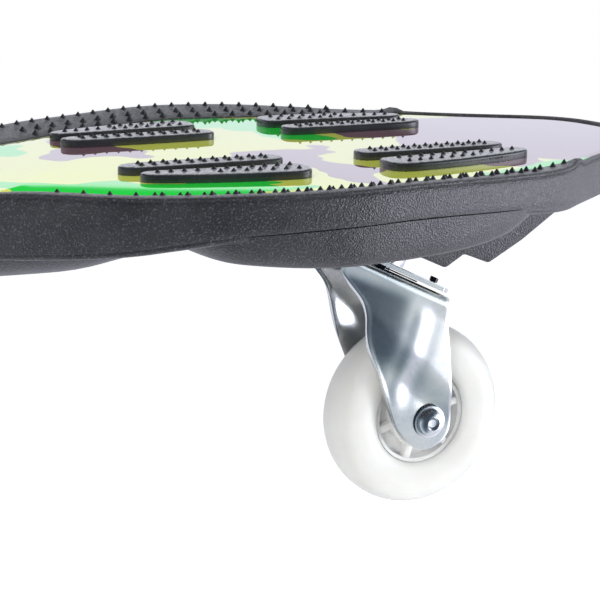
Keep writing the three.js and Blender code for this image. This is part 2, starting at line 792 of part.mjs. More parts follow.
function coreForm() {
  const ring = tubeForm(coreRadius - coreRim, coreRadius, -coreHalfWidth, coreHalfWidth, wheelSegments);
  const boss = rod(coreBoss, -coreHalfWidth, coreHalfWidth, roundSegments);
  const spokes = [];
  for (let i = 0; i < spokeCount; i += 1) {
    const spoke = blockForm(coreRadius * 2 - coreRim, spokeThickness, -spokeHalfWidth, spokeHalfWidth);
    if (i < spokeCount / 2) spokes.push(spoke.rotate([0, 0, i * fullTurnDegrees / spokeCount]));
  }
  const seatBottom = bearingOut - bearingWidth - clearance;
  const seats = [
    rod(bearingRadius + clearance, seatBottom, wheelWidth, roundSegments),
    rod(bearingRadius + clearance, -wheelWidth, -seatBottom, roundSegments),
    rod(coreBore, -wheelWidth, wheelWidth, roundSegments),
  ];
  return ontoAxle(join([ring, boss, ...spokes]).subtract(join(seats)));
}

function tyreForm() {
  const inner = coreRadius + clearance;
  const half = wheelWidth / 2;
  const side = tyreShares.map(([radius, width]) => [wheelRadius * radius, half * width]);
  const profile = [
    ...side.slice().reverse().map(([radius, width]) => [radius, -width]),
    ...side.slice(1),
  ];
  const seat = half * tyreSeatShare;
  return axleForm([[inner, -seat], ...profile, [inner, seat], [inner, -seat]], wheelSegments);
}

function bearingForm(sign) {
  const half = bearingWidth / 2;
  const groove = half - bearingRecess;
  const inner = bearingBore;
  const outer = bearingRadius;
  return axleForm([
    [inner, -half], [outer, -half], [outer, half], [outer - bearingLip, half],
    [outer - bearingLip, groove], [inner + bearingLip, groove], [inner + bearingLip, half], [inner, half],
    [inner, -half],
  ].map(([radius, height]) => [radius, height + bearingMiddle]), roundSegments, sign);
}

const bearingMiddle = bearingOut - bearingWidth / 2;
const legInside = legHalfWidth - sheetThickness;

for (const [end, sideX] of [['front', 1], ['rear', -1]]) {
  const place = shift(sideX * platformMiddle, 0, 0);
  const turn = (body) => (sideX > 0 ? body : body.mirror([1, 0, 0]));
  addPart(`${end}_deck_shell`, turn(deckShell()).subtract(kingHole()), blackPlastic, place);
  addPart(`${end}_deck_plate`, turn(deckPlate()), platePaint, place);
  addPart(`${end}_lower_shell`, underShell(sideX), blackPlastic, place);
  screwSpots().forEach(([x, y], i) => {
    const headTop = coverScrewHeadLevel + coverScrewHeadHeight;
    const screw = rod(coverScrewHeadRadius, coverScrewHeadLevel, headTop, smallSegments)
      .add(rod(coverScrewRadius, headTop - overlapDepth, coverScrewTipLevel, smallSegments));
    addPart(`${end}_cover_screw_${i + 1}`, screw.translate(x, y, 0), darkSteel, place);
  });

  const seat = place.clone().multiply(leanMatrix);
  const topPlate = prism(
    roundedPlan(topPlateBack, topPlateFront, topPlateHalfWidth, topPlateCorner),
    topPlateBottom, topPlateBottom + topPlateThickness,
  );
  const plateHoles = join([
    rod(kingRadius + clearance, -plateGap, collarHeight, roundSegments),
    rod(pinRadius + clearance, -plateGap, collarHeight, smallSegments).translate(pinX, pinY, 0),
  ]);
  addPart(`${end}_top_plate`, topPlate.subtract(plateHoles), zinc, seat);
  const pin = rod(pinRadius, topPlateBottom, collarBottom + pinHeadHeight, smallSegments)
    .add(rod(pinHeadRadius, collarBottom, collarBottom + pinHeadHeight, smallSegments));
  addPart(`${end}_plate_pin`, pin.translate(pinX, pinY, 0), darkSteel, seat);
  const race = tubeForm(raceInner, raceOuter, clearance, plateGap - clearance, roundSegments);
  addPart(`${end}_swivel_race`, race, darkSteel, seat);
  addPart(`${end}_collar`, turned([
    [kingRadius + clearance, collarBottom], [collarRadius, collarBottom],
    [collarRadius, collarBottom + collarHeight - collarRound],
    [collarRadius - collarRound, collarBottom + collarHeight],
    [kingRadius + clearance, collarBottom + collarHeight], [kingRadius + clearance, collarBottom],
  ], roundSegments), brightSteel, seat);
  const kingHeadTop = -sheetThickness - clearance;
  const kingBolt = rod(kingHeadRadius, kingHeadTop - kingHeadHeight, kingHeadTop, hexSides)
    .add(rod(kingRadius, kingHeadTop - overlapDepth, kingTip, roundSegments));
  addPart(`${end}_king_bolt`, kingBolt, brightSteel, seat);
  addPart(`${end}_fork`, forkForm(), zinc, seat);
  const washerFace = legHalfWidth + clearance;
  const headFace = washerFace + axleWasher;
  addPart(`${end}_axle_bolt`, axleForm([
    [0, -headFace - axleHeadHeight], [axleHeadRadius - axleWasher, -headFace - axleHeadHeight],
    [axleHeadRadius - axleWasher, -headFace], [axleHeadRadius, -headFace], [axleHeadRadius, -washerFace],
    [axleRadius, -washerFace], [axleRadius, axleEnd], [0, axleEnd],
  ], roundSegments), brightSteel, seat);
  const nut = rod(axleHeadRadius, washerFace, headFace + axleHeadHeight, hexSides)
    .subtract(rod(axleRadius + clearance, 0, axleEnd * 2, roundSegments));
  addPart(`${end}_axle_nut`, ontoAxle(nut), brightSteel, seat);
  for (const [label, sign] of [['near', -1], ['far', 1]]) {
    const from = sign * (bearingOut + clearance);
    const to = sign * (legInside - clearance);
    addPart(`${end}_axle_spacer_${label}`, ontoAxle(tubeForm(
      axleRadius + clearance, spacerRadius, Math.min(from, to), Math.max(from, to), roundSegments,
    )), brightSteel, seat);
    addPart(`${end}_bearing_${label}`, bearingForm(sign), brightSteel, seat);
  }
  const sleeveHalf = bearingOut - bearingWidth - clearance * 2;
  addPart(`${end}_inner_spacer`, ontoAxle(tubeForm(
    axleRadius + clearance, spacerRadius, -sleeveHalf, sleeveHalf, roundSegments,
  )), brightSteel, seat);
  addPart(`${end}_wheel_core`, coreForm(), coreWhite, seat);
  addPart(`${end}_tyre`, tyreForm(), castWhite, seat);

  // Neck pieces at this end
  const hubFace = platformMiddle - neckReach - hubOverhang;
  const tubeFit = tubeRadius + clearance;
  const bush = tubeAlongX(tubeFit, hubBore - clearance, hubFace + clearance, hubFace + bushLength);
  addPart(`neck_bush_${end}`, turn(bush), nylon);
  const seal = tubeAlongX(tubeFit, sealRadius, hubFace - clearance - sealLength, hubFace - clearance);
  addPart(`neck_seal_${end}`, turn(seal), rubber);
  const clampHead = clampSeat + clearance;
  const clampBolt = rod(clampHeadRadius, clampHead, clampHead + clampHeadHeight, hexSides)
    .add(rod(clampBoltRadius, clampTipLevel, clampHead + overlapDepth, smallSegments));
  addPart(`neck_clamp_bolt_${end}`, turn(clampBolt.translate(platformMiddle + clampX, 0, 0)), brightSteel);
}

const clampAt = platformMiddle + clampX;
const blockInner = clampAt - blockLength / 2;
const blockOuter = clampAt + blockLength / 2;

function clampHoleAt(at) {
  return rod(clampBoltRadius + clearance, clampTipLevel - clearance, hubRadius * 2, smallSegments)
    .translate(at, 0, 0);
}

const tubeInner = tubeRadius - tubeWall;
const tubeFrontEnd = blockInner - clearance * 2;
const tubeRearEnd = -blockOuter - tubeWall;
const neckTube = tubeAlongX(tubeInner, tubeRadius, tubeRearEnd, tubeFrontEnd);
addPart('neck_tube', neckTube.subtract(clampHoleAt(-clampAt)), tubeMetal);

const sleeveInner = tubeRadius + clearance;
const sleeveProfile = [[sleeveInner, -sleeveHalfLength], [sleeveRadius, -sleeveHalfLength]];
for (const middle of [-sleeveHalfLength / 2, sleeveHalfLength / 2]) {
  const waist = sleeveRadius - sleeveGrooveDepth;
  sleeveProfile.push([sleeveRadius, middle - sleeveGrooveWidth / 2], [waist, middle - sleeveGrooveWidth / 4]);
  sleeveProfile.push([waist, middle + sleeveGrooveWidth / 4], [sleeveRadius, middle + sleeveGrooveWidth / 2]);
}
sleeveProfile.push([sleeveRadius, sleeveHalfLength], [sleeveInner, sleeveHalfLength]);
sleeveProfile.push([sleeveInner, -sleeveHalfLength]);
addPart('neck_sleeve', turnedAlongX(sleeveProfile, hubSegments), blackPlastic);

addPart('torsion_bar', rodAlongX(torsionBarRadius, -blockOuter, blockOuter), darkSteel);
const barHole = rodAlongX(torsionBarRadius + clearance, -platformMiddle, platformMiddle);
const rearBlock = rodAlongX(tubeInner - clearance, -blockOuter, -blockInner);
addPart('torsion_block_rear', rearBlock.subtract(barHole).subtract(clampHoleAt(-clampAt)), brightSteel);
const frontBlock = rodAlongX(hubBore - clearance, blockInner, blockOuter);
addPart('torsion_block_front', frontBlock.subtract(barHole).subtract(clampHoleAt(clampAt)), brightSteel);

function rodAlongX(radius, start, finish) {
  return turnedAlongX([[0, start], [radius, start], [radius, finish], [0, finish]], hubSegments);
}

function tubeAlongX(inner, outer, start, finish) {
  const ring = [[inner, start], [outer, start], [outer, finish], [inner, finish], [inner, start]];
  return turnedAlongX(ring, hubSegments);
}

export default group;
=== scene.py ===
"""A caster board as it is photographed: two moulded platforms with studs and camouflage plates,
a round neck between them, and a plated swivel caster with a white wheel under each."""
import math
from contextlib import contextmanager

import bpy
from mathutils import Matrix, Vector
from mathutils.geometry import interpolate_bezier


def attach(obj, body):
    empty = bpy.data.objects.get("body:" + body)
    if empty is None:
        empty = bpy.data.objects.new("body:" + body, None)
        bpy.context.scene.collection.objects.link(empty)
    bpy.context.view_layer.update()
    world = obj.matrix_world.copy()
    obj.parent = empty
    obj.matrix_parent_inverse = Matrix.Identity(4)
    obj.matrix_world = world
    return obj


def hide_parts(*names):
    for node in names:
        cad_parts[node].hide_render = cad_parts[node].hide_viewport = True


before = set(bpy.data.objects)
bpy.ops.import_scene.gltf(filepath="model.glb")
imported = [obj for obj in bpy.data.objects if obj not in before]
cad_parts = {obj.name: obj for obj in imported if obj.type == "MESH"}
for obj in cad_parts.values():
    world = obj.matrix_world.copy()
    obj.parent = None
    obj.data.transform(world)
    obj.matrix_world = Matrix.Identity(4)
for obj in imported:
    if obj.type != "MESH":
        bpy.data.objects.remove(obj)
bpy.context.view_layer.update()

MM = 0.001
TURN = 2 * math.pi
UP, ACROSS = Vector((0, 0, 1)), Vector((0, 1, 0))
ORIGIN = (0, 0, 0)
WELD = 1e-6

# Sizes that the moulded parts share, in millimetres; each platform is drawn round its own middle
MIDDLE = 265
HALF_WIDTH, TIP_REACH, NECK_REACH = 112.5, 164, 150
SHELL_TOP, PLATE_TOP, PLATE_THICK = 21, 23.2, 2
LIP_HEIGHT, RIM_WIDTH, PLAIN_SHARE = 4, 19, 0.14
SEAM_DROP, BELLY_DROP = 19, 23.5
BAR_TOP = PLATE_TOP + 3.2

# Half a platform's outline, as shares of its reach and half width: from the tip to the middle,
# then from the middle to the neck
OUTLINE = [
    (1, 0), (0.982, 0.185), (0.951, 0.28), (0.902, 0.355), (0.805, 0.446), (0.732, 0.51),
    (0.646, 0.595), (0.573, 0.68), (0.488, 0.765), (0.39, 0.831), (0.293, 0.886), (0.195, 0.931),
    (0.098, 0.964), (0, 0.987),
]
NECK_OUTLINE = [
    (0.08, 1), (0.16, 0.998), (0.267, 0.974), (0.4, 0.918), (0.533, 0.859), (0.66, 0.768),
    (0.767, 0.678), (0.867, 0.587), (0.955, 0.489), (0.997, 0.37), (1, 0.2), (1, 0),
]
# The next four run from the neck to the tip, at shares of the tip's reach: the height of the
# rim's crest over the plate, the rim's width, and the drop of the seam and of the belly
LIP = [
    (-0.92, 0.25), (-0.85, 0.25), (-0.756, 0.5), (-0.591, 0.45), (-0.524, 0.53), (-0.341, 0.68),
    (-0.244, 0.81), (-0.146, 0.93), (-0.049, 1), (0.049, 0.97), (0.146, 0.85), (0.244, 0.65),
    (0.341, 0.44), (0.42, 0.25), (0.5, 0.2), (0.538, 0.3), (0.554, 0.62), (0.57, 0.6),
    (0.582, 0.24), (0.61, 0.19), (1, 0.2),
]
RIM = [
    (-0.92, 0.2), (-0.85, 0.25), (-0.756, 1), (-0.3, 1), (0.122, 1), (0.341, 0.75), (0.53, 0.47),
    (0.562, 0.38), (0.586, 0.18), (0.63, 0.13), (1, 0.14),
]
SEAM = [
    (-0.915, 1), (-0.713, 0.9), (-0.591, 0.79), (-0.506, 0.66), (-0.402, 0.54), (-0.28, 0.453),
    (-0.2, 0.405), (0, 0.353), (0.152, 0.389), (0.348, 0.505), (0.488, 0.647), (0.61, 0.737),
    (0.793, 0.684), (1, 0.421),
]
BELLY = [
    (-0.54, 0.6), (-0.45, 0.774), (-0.378, 0.928), (-0.311, 0.962), (-0.165, 1), (0.073, 0.987),
    (0.158, 0.974), (0.293, 0.915), (0.39, 0.817), (0.46, 0.66), (0.54, 0.53),
]


# ---- Modelling helpers

def pick(*objects):
    """Only these objects are selected, the last one active."""
    if bpy.context.object and bpy.context.object.mode != "OBJECT":
        bpy.ops.object.mode_set(mode="OBJECT")
    bpy.ops.object.select_all(action="DESELECT")
    for obj in objects:
        obj.select_set(True)
    bpy.context.view_layer.objects.active = objects[-1]
    return objects[-1]


def added(name):
    obj = bpy.context.object
    obj.name = obj.data.name = name
    return obj


@contextmanager
def editing(obj):
    """Edit mode with the whole mesh selected, then object mode again."""
    pick(obj)
    bpy.ops.object.mode_set(mode="EDIT")
    bpy.ops.mesh.select_all(action="SELECT")
    yield
    bpy.ops.object.mode_set(mode="OBJECT")


def tidy(obj):
    """Welds doubled points, drops flat slivers and turns the faces outward."""
    with editing(obj):
        bpy.ops.mesh.remove_doubles(threshold=WELD)
        bpy.ops.mesh.dissolve_degenerate(threshold=WELD)
        bpy.ops.mesh.normals_make_consistent(inside=False)
    return obj


def smooth(obj, degrees=35):
    pick(obj)
    bpy.ops.object.shade_smooth_by_angle(angle=math.radians(degrees))
    return obj


def settle(obj):
    """Puts a primitive's place into its mesh."""
    pick(obj)
    bpy.ops.object.transform_apply(location=True, rotation=True, scale=True)
    return obj


def laid_grid(name, rows):
    """A grid laid on rows of points."""
    bpy.ops.mesh.primitive_grid_add(
        x_subdivisions=len(rows[0]) - 1, y_subdivisions=len(rows) - 1, size=1)
    obj = added(name)
    points = [point for row in rows for point in row]
    for vertex, (x, y, z) in zip(obj.data.vertices, points):
        vertex.co = (x * MM, y * MM, z * MM)
    return tidy(obj)


def ring_grid(name, rings, closed_rows=False):
    """A grid laid on closed rings of points: columns run round a ring, rows from ring to ring."""
    laid = rings + rings[:1] if closed_rows else rings
    return laid_grid(name, [ring + ring[:1] for ring in laid])


def cap_ends(obj):
    """Closes the open loops of a welded grid."""
    with editing(obj):
        bpy.ops.mesh.select_mode(type="EDGE")
        bpy.ops.mesh.select_all(action="DESELECT")
        bpy.ops.mesh.select_non_manifold()
        bpy.ops.mesh.edge_face_add()
        bpy.ops.mesh.select_all(action="SELECT")
        bpy.ops.mesh.normals_make_consistent(inside=False)
    return obj


def spun(name, profile, centre, axis, steps):
    """A turned piece: the profile's (radius, height) points are spun round the axis."""
    bpy.ops.mesh.primitive_circle_add(vertices=len(profile), fill_type="NOTHING")
    obj = added(name)
    side = axis.orthogonal().normalized()
    middle = Vector(centre) * MM
    for vertex, (radius, height) in zip(obj.data.vertices, profile):
        vertex.co = middle + (side * radius + axis * height) * MM
    with editing(obj):
        bpy.ops.mesh.spin(steps=steps, angle=TURN, use_auto_merge=True, center=middle, axis=axis)
    return smooth(tidy(obj))


def slab(name, points, low, high, across=False):
    """A plate of this outline, pulled up from low to high, or sideways when its points stand."""
    bpy.ops.mesh.primitive_circle_add(vertices=len(points), fill_type="NGON")
    obj = added(name)
    for vertex, (first, second) in zip(obj.data.vertices, points):
        place = (first, low, second) if across else (first, second, low)
        vertex.co = Vector(place) * MM
    pull = (ACROSS if across else UP) * (high - low) * MM
    with editing(obj):
        bpy.ops.mesh.extrude_region_move(TRANSFORM_OT_translate={"value": pull})
        bpy.ops.mesh.select_all(action="SELECT")
        bpy.ops.mesh.normals_make_consistent(inside=False)
    return obj


def modified(obj, kind, **settings):
    modifier = obj.modifiers.new(kind.lower(), kind)
    for key, value in settings.items():
        setattr(modifier, key, value)
    pick(obj)
    bpy.ops.object.modifier_apply(modifier=modifier.name)
    return obj


def eased(obj, width, segments=3, degrees=30):
    """Rounds every edge sharper than the angle."""
    return modified(
        obj, "BEVEL", width=width * MM, segments=segments, limit_method="ANGLE",
        angle_limit=math.radians(degrees),
    )


def joined(name, pieces):
    target = pick(*pieces)
    bpy.ops.object.join()
    target.name = target.data.name = name
    return target


def twin(obj, name, mirror=False, offset=ORIGIN):
    """A copy with its own mesh, mirrored across the neck's middle or moved."""
    copy = obj.copy()
    copy.data = obj.data.copy()
    bpy.context.collection.objects.link(copy)
    copy.name = copy.data.name = name
    with editing(copy):
        if mirror:
            bpy.ops.transform.resize(value=(-1, 1, 1), center_override=ORIGIN)
            bpy.ops.mesh.flip_normals()
        else:
            bpy.ops.transform.translate(value=Vector(offset) * MM)
    return copy


def leaned(obj, matrix):
    """Moves a piece made in its own frame to its seat on the board."""
    obj.matrix_world = matrix
    return settle(obj)


def table_value(table, at):
    """The table's value at this place, in a straight line between its points."""
    if at <= table[0][0]:
        return table[0][1]
    for (x0, y0), (x1, y1) in zip(table, table[1:]):
        if at <= x1:
            return y0 + (y1 - y0) * (at - x0) / (x1 - x0)
    return table[-1][1]


def flowing(points, steps, closed=False):
    """Points along a smooth curve through the given ones."""
    count = len(points)
    vectors = [Vector(p) if len(p) == 3 else Vector((*p, 0)) for p in points]

    def near(k):
        return vectors[k % count] if closed else vectors[max(0, min(count - 1, k))]

    result = []
    for i in range(count if closed else count - 1):
        a, b, c, d = (near(i + k) for k in (-1, 0, 1, 2))
        reach = (c - b).length / 3
        first = b + (c - a).normalized() * reach
        second = c - (d - b).normalized() * reach
        result += interpolate_bezier(b, first, second, c, steps + 1)[:-1]
    if not closed:
        result.append(vectors[-1])
    return result


def ease(value):
    share = max(0.0, min(1.0, value))
    return share * share * (3 - 2 * share)


# ---- Platform outline and levels, measured from the platform's middle

def platform_outline():
    side = [(x * TIP_REACH, y * HALF_WIDTH) for x, y in OUTLINE]
    side += [(-x * NECK_REACH, y * HALF_WIDTH) for x, y in NECK_OUTLINE]
    far = [(x, -y) for x, y in side[1:-1]][::-1]
    points = flowing(side + far, 5, closed=True)
    count = len(points)
    inward = []
    for i, point in enumerate(points):
        along = (points[(i + 1) % count] - points[i - 1]).normalized()
        inward.append(Vector((-along.y, along.x, 0)))
    return points, inward


POINTS, INWARD = platform_outline()
SEAM_CURVE, BELLY_CURVE, LIP_CURVE, RIM_CURVE = (
    [(p.x, p.y) for p in flowing(table, 5)] for table in (SEAM, BELLY, LIP, RIM))


def seam_level(x):
    return SHELL_TOP - SEAM_DROP * table_value(SEAM_CURVE, x / TIP_REACH)


def belly_level(x):
    return SHELL_TOP - BELLY_DROP * table_value(BELLY_CURVE, x / TIP_REACH)


def lip_level(x):
    return PLATE_TOP + LIP_HEIGHT * table_value(LIP_CURVE, x / TIP_REACH)


def rim_width(x):
    return RIM_WIDTH * table_value(RIM_CURVE, x / TIP_REACH)


def broad(x):
    """1 where the studded rim is full, 0 at the plain edge."""
    return max(0, (rim_width(x) / RIM_WIDTH - PLAIN_SHARE) / (1 - PLAIN_SHARE))


def plate_edge(x):
    """Level to which the plate rounds down where it meets the rim."""
    return PLATE_TOP - 0.3 - 1.9 * ease((-10 - x) / 60) * broad(x)


def platform_ring(inset, level):
    """One ring round a platform; inset and level are numbers or follow x."""
    ring = []
    for point, inward in zip(POINTS, INWARD):
        depth = inset(point.x) if callable(inset) else inset
        height = level(point.x) if callable(level) else level
        ring.append((MIDDLE + point.x + inward.x * depth, point.y + inward.y * depth, height))
    return ring


def rim_and_wall():
    """The platform's edge in one closed section: groove, sloping rim, rounded lip, bulging wall."""
    def at_lip(drop):
        return lambda x: lip_level(x) - drop

    def band(share):
        return lambda x: lip_level(x) - 4 + (seam_level(x) + 0.6 - lip_level(x) + 4) * share

    def inner(drop):
        return lambda x: plate_edge(x) - drop

    def crest_inset(x):
        return 0.9 + 2.9 * broad(x)

    def slope(share):
        return lambda x: crest_inset(x) + (rim_width(x) - 0.7 - crest_inset(x)) * share

    def between(share):
        return lambda x: plate_edge(x) + 0.35 + (lip_level(x) - plate_edge(x) - 0.4) * share

    section = [
        (lambda x: rim_width(x) + 1.4, PLATE_TOP - 3.6),
        (lambda x: rim_width(x) + 0.1, PLATE_TOP - 3.1),
        (lambda x: rim_width(x) - 0.1, inner(0.4)),
        (lambda x: rim_width(x) - 0.5, inner(-0.1)),
        (slope(1), between(0)),
        (slope(0.66), between(0.36)),
        (slope(0.33), between(0.7)),
        (slope(0.1), between(0.95)),
        (crest_inset, at_lip(0.05)),
        (lambda x: crest_inset(x) * 0.66, at_lip(0)),
        (lambda x: crest_inset(x) * 0.36, at_lip(0.12)),
        (0.35, at_lip(0.45)),
        (0.05, at_lip(0.95)),
        (0, at_lip(1.3)),
        (0.3, at_lip(1.6)),
        (0.5, at_lip(1.85)),
        (0.3, at_lip(2.2)),
        (0.05, at_lip(2.6)),
        (0, band(0)),
        (0, band(0.2)),
        (0, band(0.4)),
        (0.05, band(0.6)),
        (0.2, band(0.8)),
        (0.4, band(0.94)),
        (0.9, seam_level),
        (1.6, lambda x: seam_level(x) + 0.3),
        (5.2, seam_level),
        (5.4, lambda x: max(seam_level(x) + 1, PLATE_TOP - 10)),
        (lambda x: rim_width(x) + 1.4, PLATE_TOP - 6),
    ]
    rings = [platform_ring(inset, level) for inset, level in section]
    return smooth(ring_grid("front_rim_and_wall", rings, closed_rows=True), 50)


def colour_plate():
    """The glossy plate, its edge rounded down into the groove inside the rim."""
    def inset(depth):
        return lambda x: rim_width(x) + 0.8 + depth * (0.3 + 0.7 * broad(x))

    def drop(share):
        return lambda x: PLATE_TOP - (PLATE_TOP - plate_edge(x)) * share

    rings = [
        platform_ring(lambda x: rim_width(x) + 0.5, PLATE_TOP - PLATE_THICK - 1),
        platform_ring(lambda x: rim_width(x) + 0.5, lambda x: plate_edge(x) - 0.3),
        platform_ring(inset(0), drop(1)),
        platform_ring(inset(3), drop(0.62)),
        platform_ring(inset(6), drop(0.32)),
        platform_ring(inset(9.5), drop(0.1)),
        platform_ring(inset(13), drop(0)),
    ]
    return smooth(cap_ends(ring_grid("front_colour_plate", rings)), 30)


# Outlines of the grip bars of one quarter of a platform, and the rows of their studs. The outer
# near bar, with its studs, reaches a little further toward the tip.
INNER_BAR = [
    (20.5, 29.2), (47, 28.5), (74, 28.9), (79.2, 30.4), (82, 34), (81.6, 37), (78.6, 39.4),
    (74, 40.3), (47, 40.8), (20.5, 40.3), (17.2, 38.6), (16, 35), (17.2, 30.8),
]
OUTER_BAR = [
    (20, 51.4), (35, 50.6), (50, 49.5), (65, 48.2), (75.5, 47.6), (79.8, 48.8), (81.5, 51.6),
    (80.6, 54.6), (77.5, 56.9), (69, 60), (59, 62.6), (49, 64.8), (39, 66.4), (29, 67.5),
    (22.5, 67.7), (18.6, 66.4), (16.5, 63.3), (15.9, 59.4), (16.1, 56), (17.1, 53),
]
BAR_START, BAR_LENGTH, BAR_MIDDLE = 12, 70, 48.5
NEAR_BAR_SLIDE, NEAR_STUD_SLIDE = 2.0, 1.7
STUD_PITCH = 5
INNER_ROWS = (34.6 - 2.12, 34.6 + 2.12)
WIDE_START, NARROW_START = 53.1, 74.9


def bar_outlines(end):
    """The four grip bars of one end of a platform."""
    for side in (1, -1):
        for points in (INNER_BAR, OUTER_BAR):
            slide = NEAR_BAR_SLIDE * end * (side < 0 and points is OUTER_BAR)
            moved = [(x + slide * (x - BAR_START) / BAR_LENGTH, side * y) for x, y in points]
            yield [(p.x, p.y) for p in flowing(moved, 3, closed=True)]


def grip_bars():
    bars = []
    for end in (1, -1):
        for points in bar_outlines(end):
            outline = [(MIDDLE + end * x, y) for x, y in points]
            bars.append(eased(slab("bar", outline, PLATE_TOP - 1, BAR_TOP), 1.0, 4, 60))
    return smooth(joined("front_grip_bars", bars), 40)


def studs(name, spots, radius, height):
    """Blunt four-sided studs, a corner toward each side: one is modelled, then copied to each
    spot; its root goes into the surface."""
    root = 0.5
    bpy.ops.mesh.primitive_cone_add(
        vertices=4, radius1=radius * MM, radius2=0, depth=(height + root) * MM,
        location=(0, 0, (height - root) / 2 * MM),
    )
    seed = eased(settle(added("stud")), 0.1 * height, 2, 20)
    copies = []
    for x, y, z in spots:
        copy = seed.copy()
        copy.data = seed.data.copy()
        copy.location = (x * MM, y * MM, z * MM)
        bpy.context.collection.objects.link(copy)
        copies.append(copy)
    bpy.data.objects.remove(seed)
    return smooth(settle(joined(name, copies)), 30)


def bar_stud_spots():
    """Two rows along each inner bar, two along an outer bar's wide part and one along the rest."""
    spots = []
    for end in (1, -1):
        for side in (1, -1):
            for i in range(11):
                for row in INNER_ROWS:
                    spots.append((BAR_MIDDLE + (i - 5) * STUD_PITCH, row, end, side))
            slide = NEAR_STUD_SLIDE * end * (side < 0)
            for i in range(7):
                x = WIDE_START + slide - i * STUD_PITCH
                spots += [(x, 53.2 + i * 0.2, end, side), (x, 59.4 + i * 0.6, end, side)]
            for i in range(4):
                x = NARROW_START + slide - i * STUD_PITCH
                spots.append((x, 52.6 + i * 0.5, end, side))
    return [(MIDDLE + end * x, side * y, BAR_TOP) for x, y, end, side in spots]


# The rows of studs on a rim: share of the rim's width, first stud, pitch, and the row's two ends
RIM_ROWS = ((0.25, 1.0, 7.82, -118, 66), (0.6, 0.5, 7.75, -92, 90), (0.86, 0.8, 8.1, -88, 58))


def rim_stud_spots():
    """Three rows along each rim; the near rim's studs stand a little lower toward the neck."""
    spots = []
    for share, start, pitch, low, high in RIM_ROWS:
        track = platform_ring(lambda x: rim_width(x) * share, 0)
        upper = sorted((x - MIDDLE, y) for x, y, z in track if y > 0)
        for x in (start + i * pitch for i in range(-16, 13)):
            if low < x < high:
                floor = plate_edge(x) + 0.35
                fall = (lip_level(x) - floor) * max(0, share - 0.12) ** 1.2 / 0.87
                sunk = 0.4 * ease((-50 - x) / 45)
                for side in (1, -1):
                    level = lip_level(x) - fall - sunk * (side < 0)
                    spots.append((MIDDLE + x, side * table_value(upper, x), level))
    return spots


# The neck's hub, from its mouth to where it ends under the platform: shares of its length, half
# width and half height
HUB_MOUTH, HUB_LENGTH = NECK_REACH + 22, 116
HUB_HALF_WIDTH, HUB_HALF_HEIGHT, HUB_STEPS = 50, 18.5, 64
HUB = [
    (0, 0.37, 1), (0.26, 0.4, 1), (0.47, 0.6, 1), (0.66, 0.82, 0.93), (0.79, 0.94, 0.68),
    (0.9, 1, 0.43), (1, 1, 0.16),
]


def neck_hub():
    """The round hub and the shoulder it flares into under the platform."""
    start = MIDDLE - HUB_MOUTH
    angles = [step * TURN / HUB_STEPS for step in range(HUB_STEPS)]
    rings = [
        [(start + along * HUB_LENGTH, width * HUB_HALF_WIDTH * math.sin(angle),
          height * HUB_HALF_HEIGHT * math.cos(angle)) for angle in angles]
        for along, width, height in flowing(HUB, 4)
    ]
    mouth = [
        [(start + inward, y * share, z * share) for x, y, z in rings[0]]
        for inward, share in ((40, 0.86), (3, 0.86), (0.6, 0.88), (0, 0.93))
    ]
    return smooth(cap_ends(ring_grid("front_neck_hub", mouth + rings)), 45)


TUB_HALF_LENGTH, TUB_STEPS = 90, 120
# The belly's rings, from its floor up to the seam: shares of length and width, tuck and rise
TUB = [
    (0.8, 0.86, 0, 0.02), (0.86, 0.915, 0, 0), (0.885, 0.94, 0.6, 0.03), (0.91, 0.957, 1.1, 0.1),
    (0.935, 0.972, 1.5, 0.24), (0.962, 0.984, 1.8, 0.45), (0.985, 0.993, 2.1, 0.7), (1, 1, 2.4, 1),
]


def tub_ring(length_share, width_share, tuck, level):
    """One ring round the belly, drawn in from the platform's outline and rounded at its ends."""
    outline = sorted((p.x, p.y) for p in POINTS if p.y > -1e-6)
    ring = []
    for i in range(TUB_STEPS):
        turn = TURN * i / TUB_STEPS
        along = math.copysign(math.sqrt(abs(math.cos(turn))), math.cos(turn))
        width = table_value(outline, TUB_HALF_LENGTH * along) * width_share - tuck
        across = math.sqrt(max(0, 1 - abs(along) ** 8))
        x = TUB_HALF_LENGTH * length_share * along
        on_side = abs(math.sin(turn)) > 1e-9
        y = math.copysign(width * across, math.sin(turn)) if on_side else 0
        ring.append((MIDDLE + x, y, level(x)))
    return ring


def skirt():
    """The belly under a platform and the cover round it, whose edges show as the seam."""
    def between(share):
        return lambda x: belly_level(x) + (seam_level(x) - 0.9 - belly_level(x)) * share

    tub = [tub_ring(length, width, tuck, between(rise)) for length, width, tuck, rise in TUB]
    belly = cap_ends(ring_grid("belly", tub))
    cover = cap_ends(ring_grid("cover", [
        platform_ring(5.2, lambda x: seam_level(x) - 2.9),
        platform_ring(4.3, lambda x: seam_level(x) - 2.3),
        platform_ring(3.9, lambda x: seam_level(x) - 1.4),
        platform_ring(3.9, lambda x: seam_level(x) + 0.6),
    ]))
    return belly, cover


# The caster's seat: the lean of the swivel axis and the middle of the fork's crown
LEAN = math.radians(26)
CROWN_X, CROWN_Z = 46.6, -30.4
SEAT = (Matrix.Translation(Vector((MIDDLE + CROWN_X, 0, CROWN_Z)) * MM)
        @ Matrix.Rotation(LEAN, 4, "Y"))
WEDGE_REACH, WEDGE_HALF_WIDTH, WEDGE_FACE = 130, 30, 10.6


def face_level(x):
    """Level of the wedge's leaning face, which lies over the crown."""
    along = (x - CROWN_X - WEDGE_FACE * math.sin(LEAN)) / math.cos(LEAN)
    return CROWN_Z - along * math.sin(LEAN) + WEDGE_FACE * math.cos(LEAN)


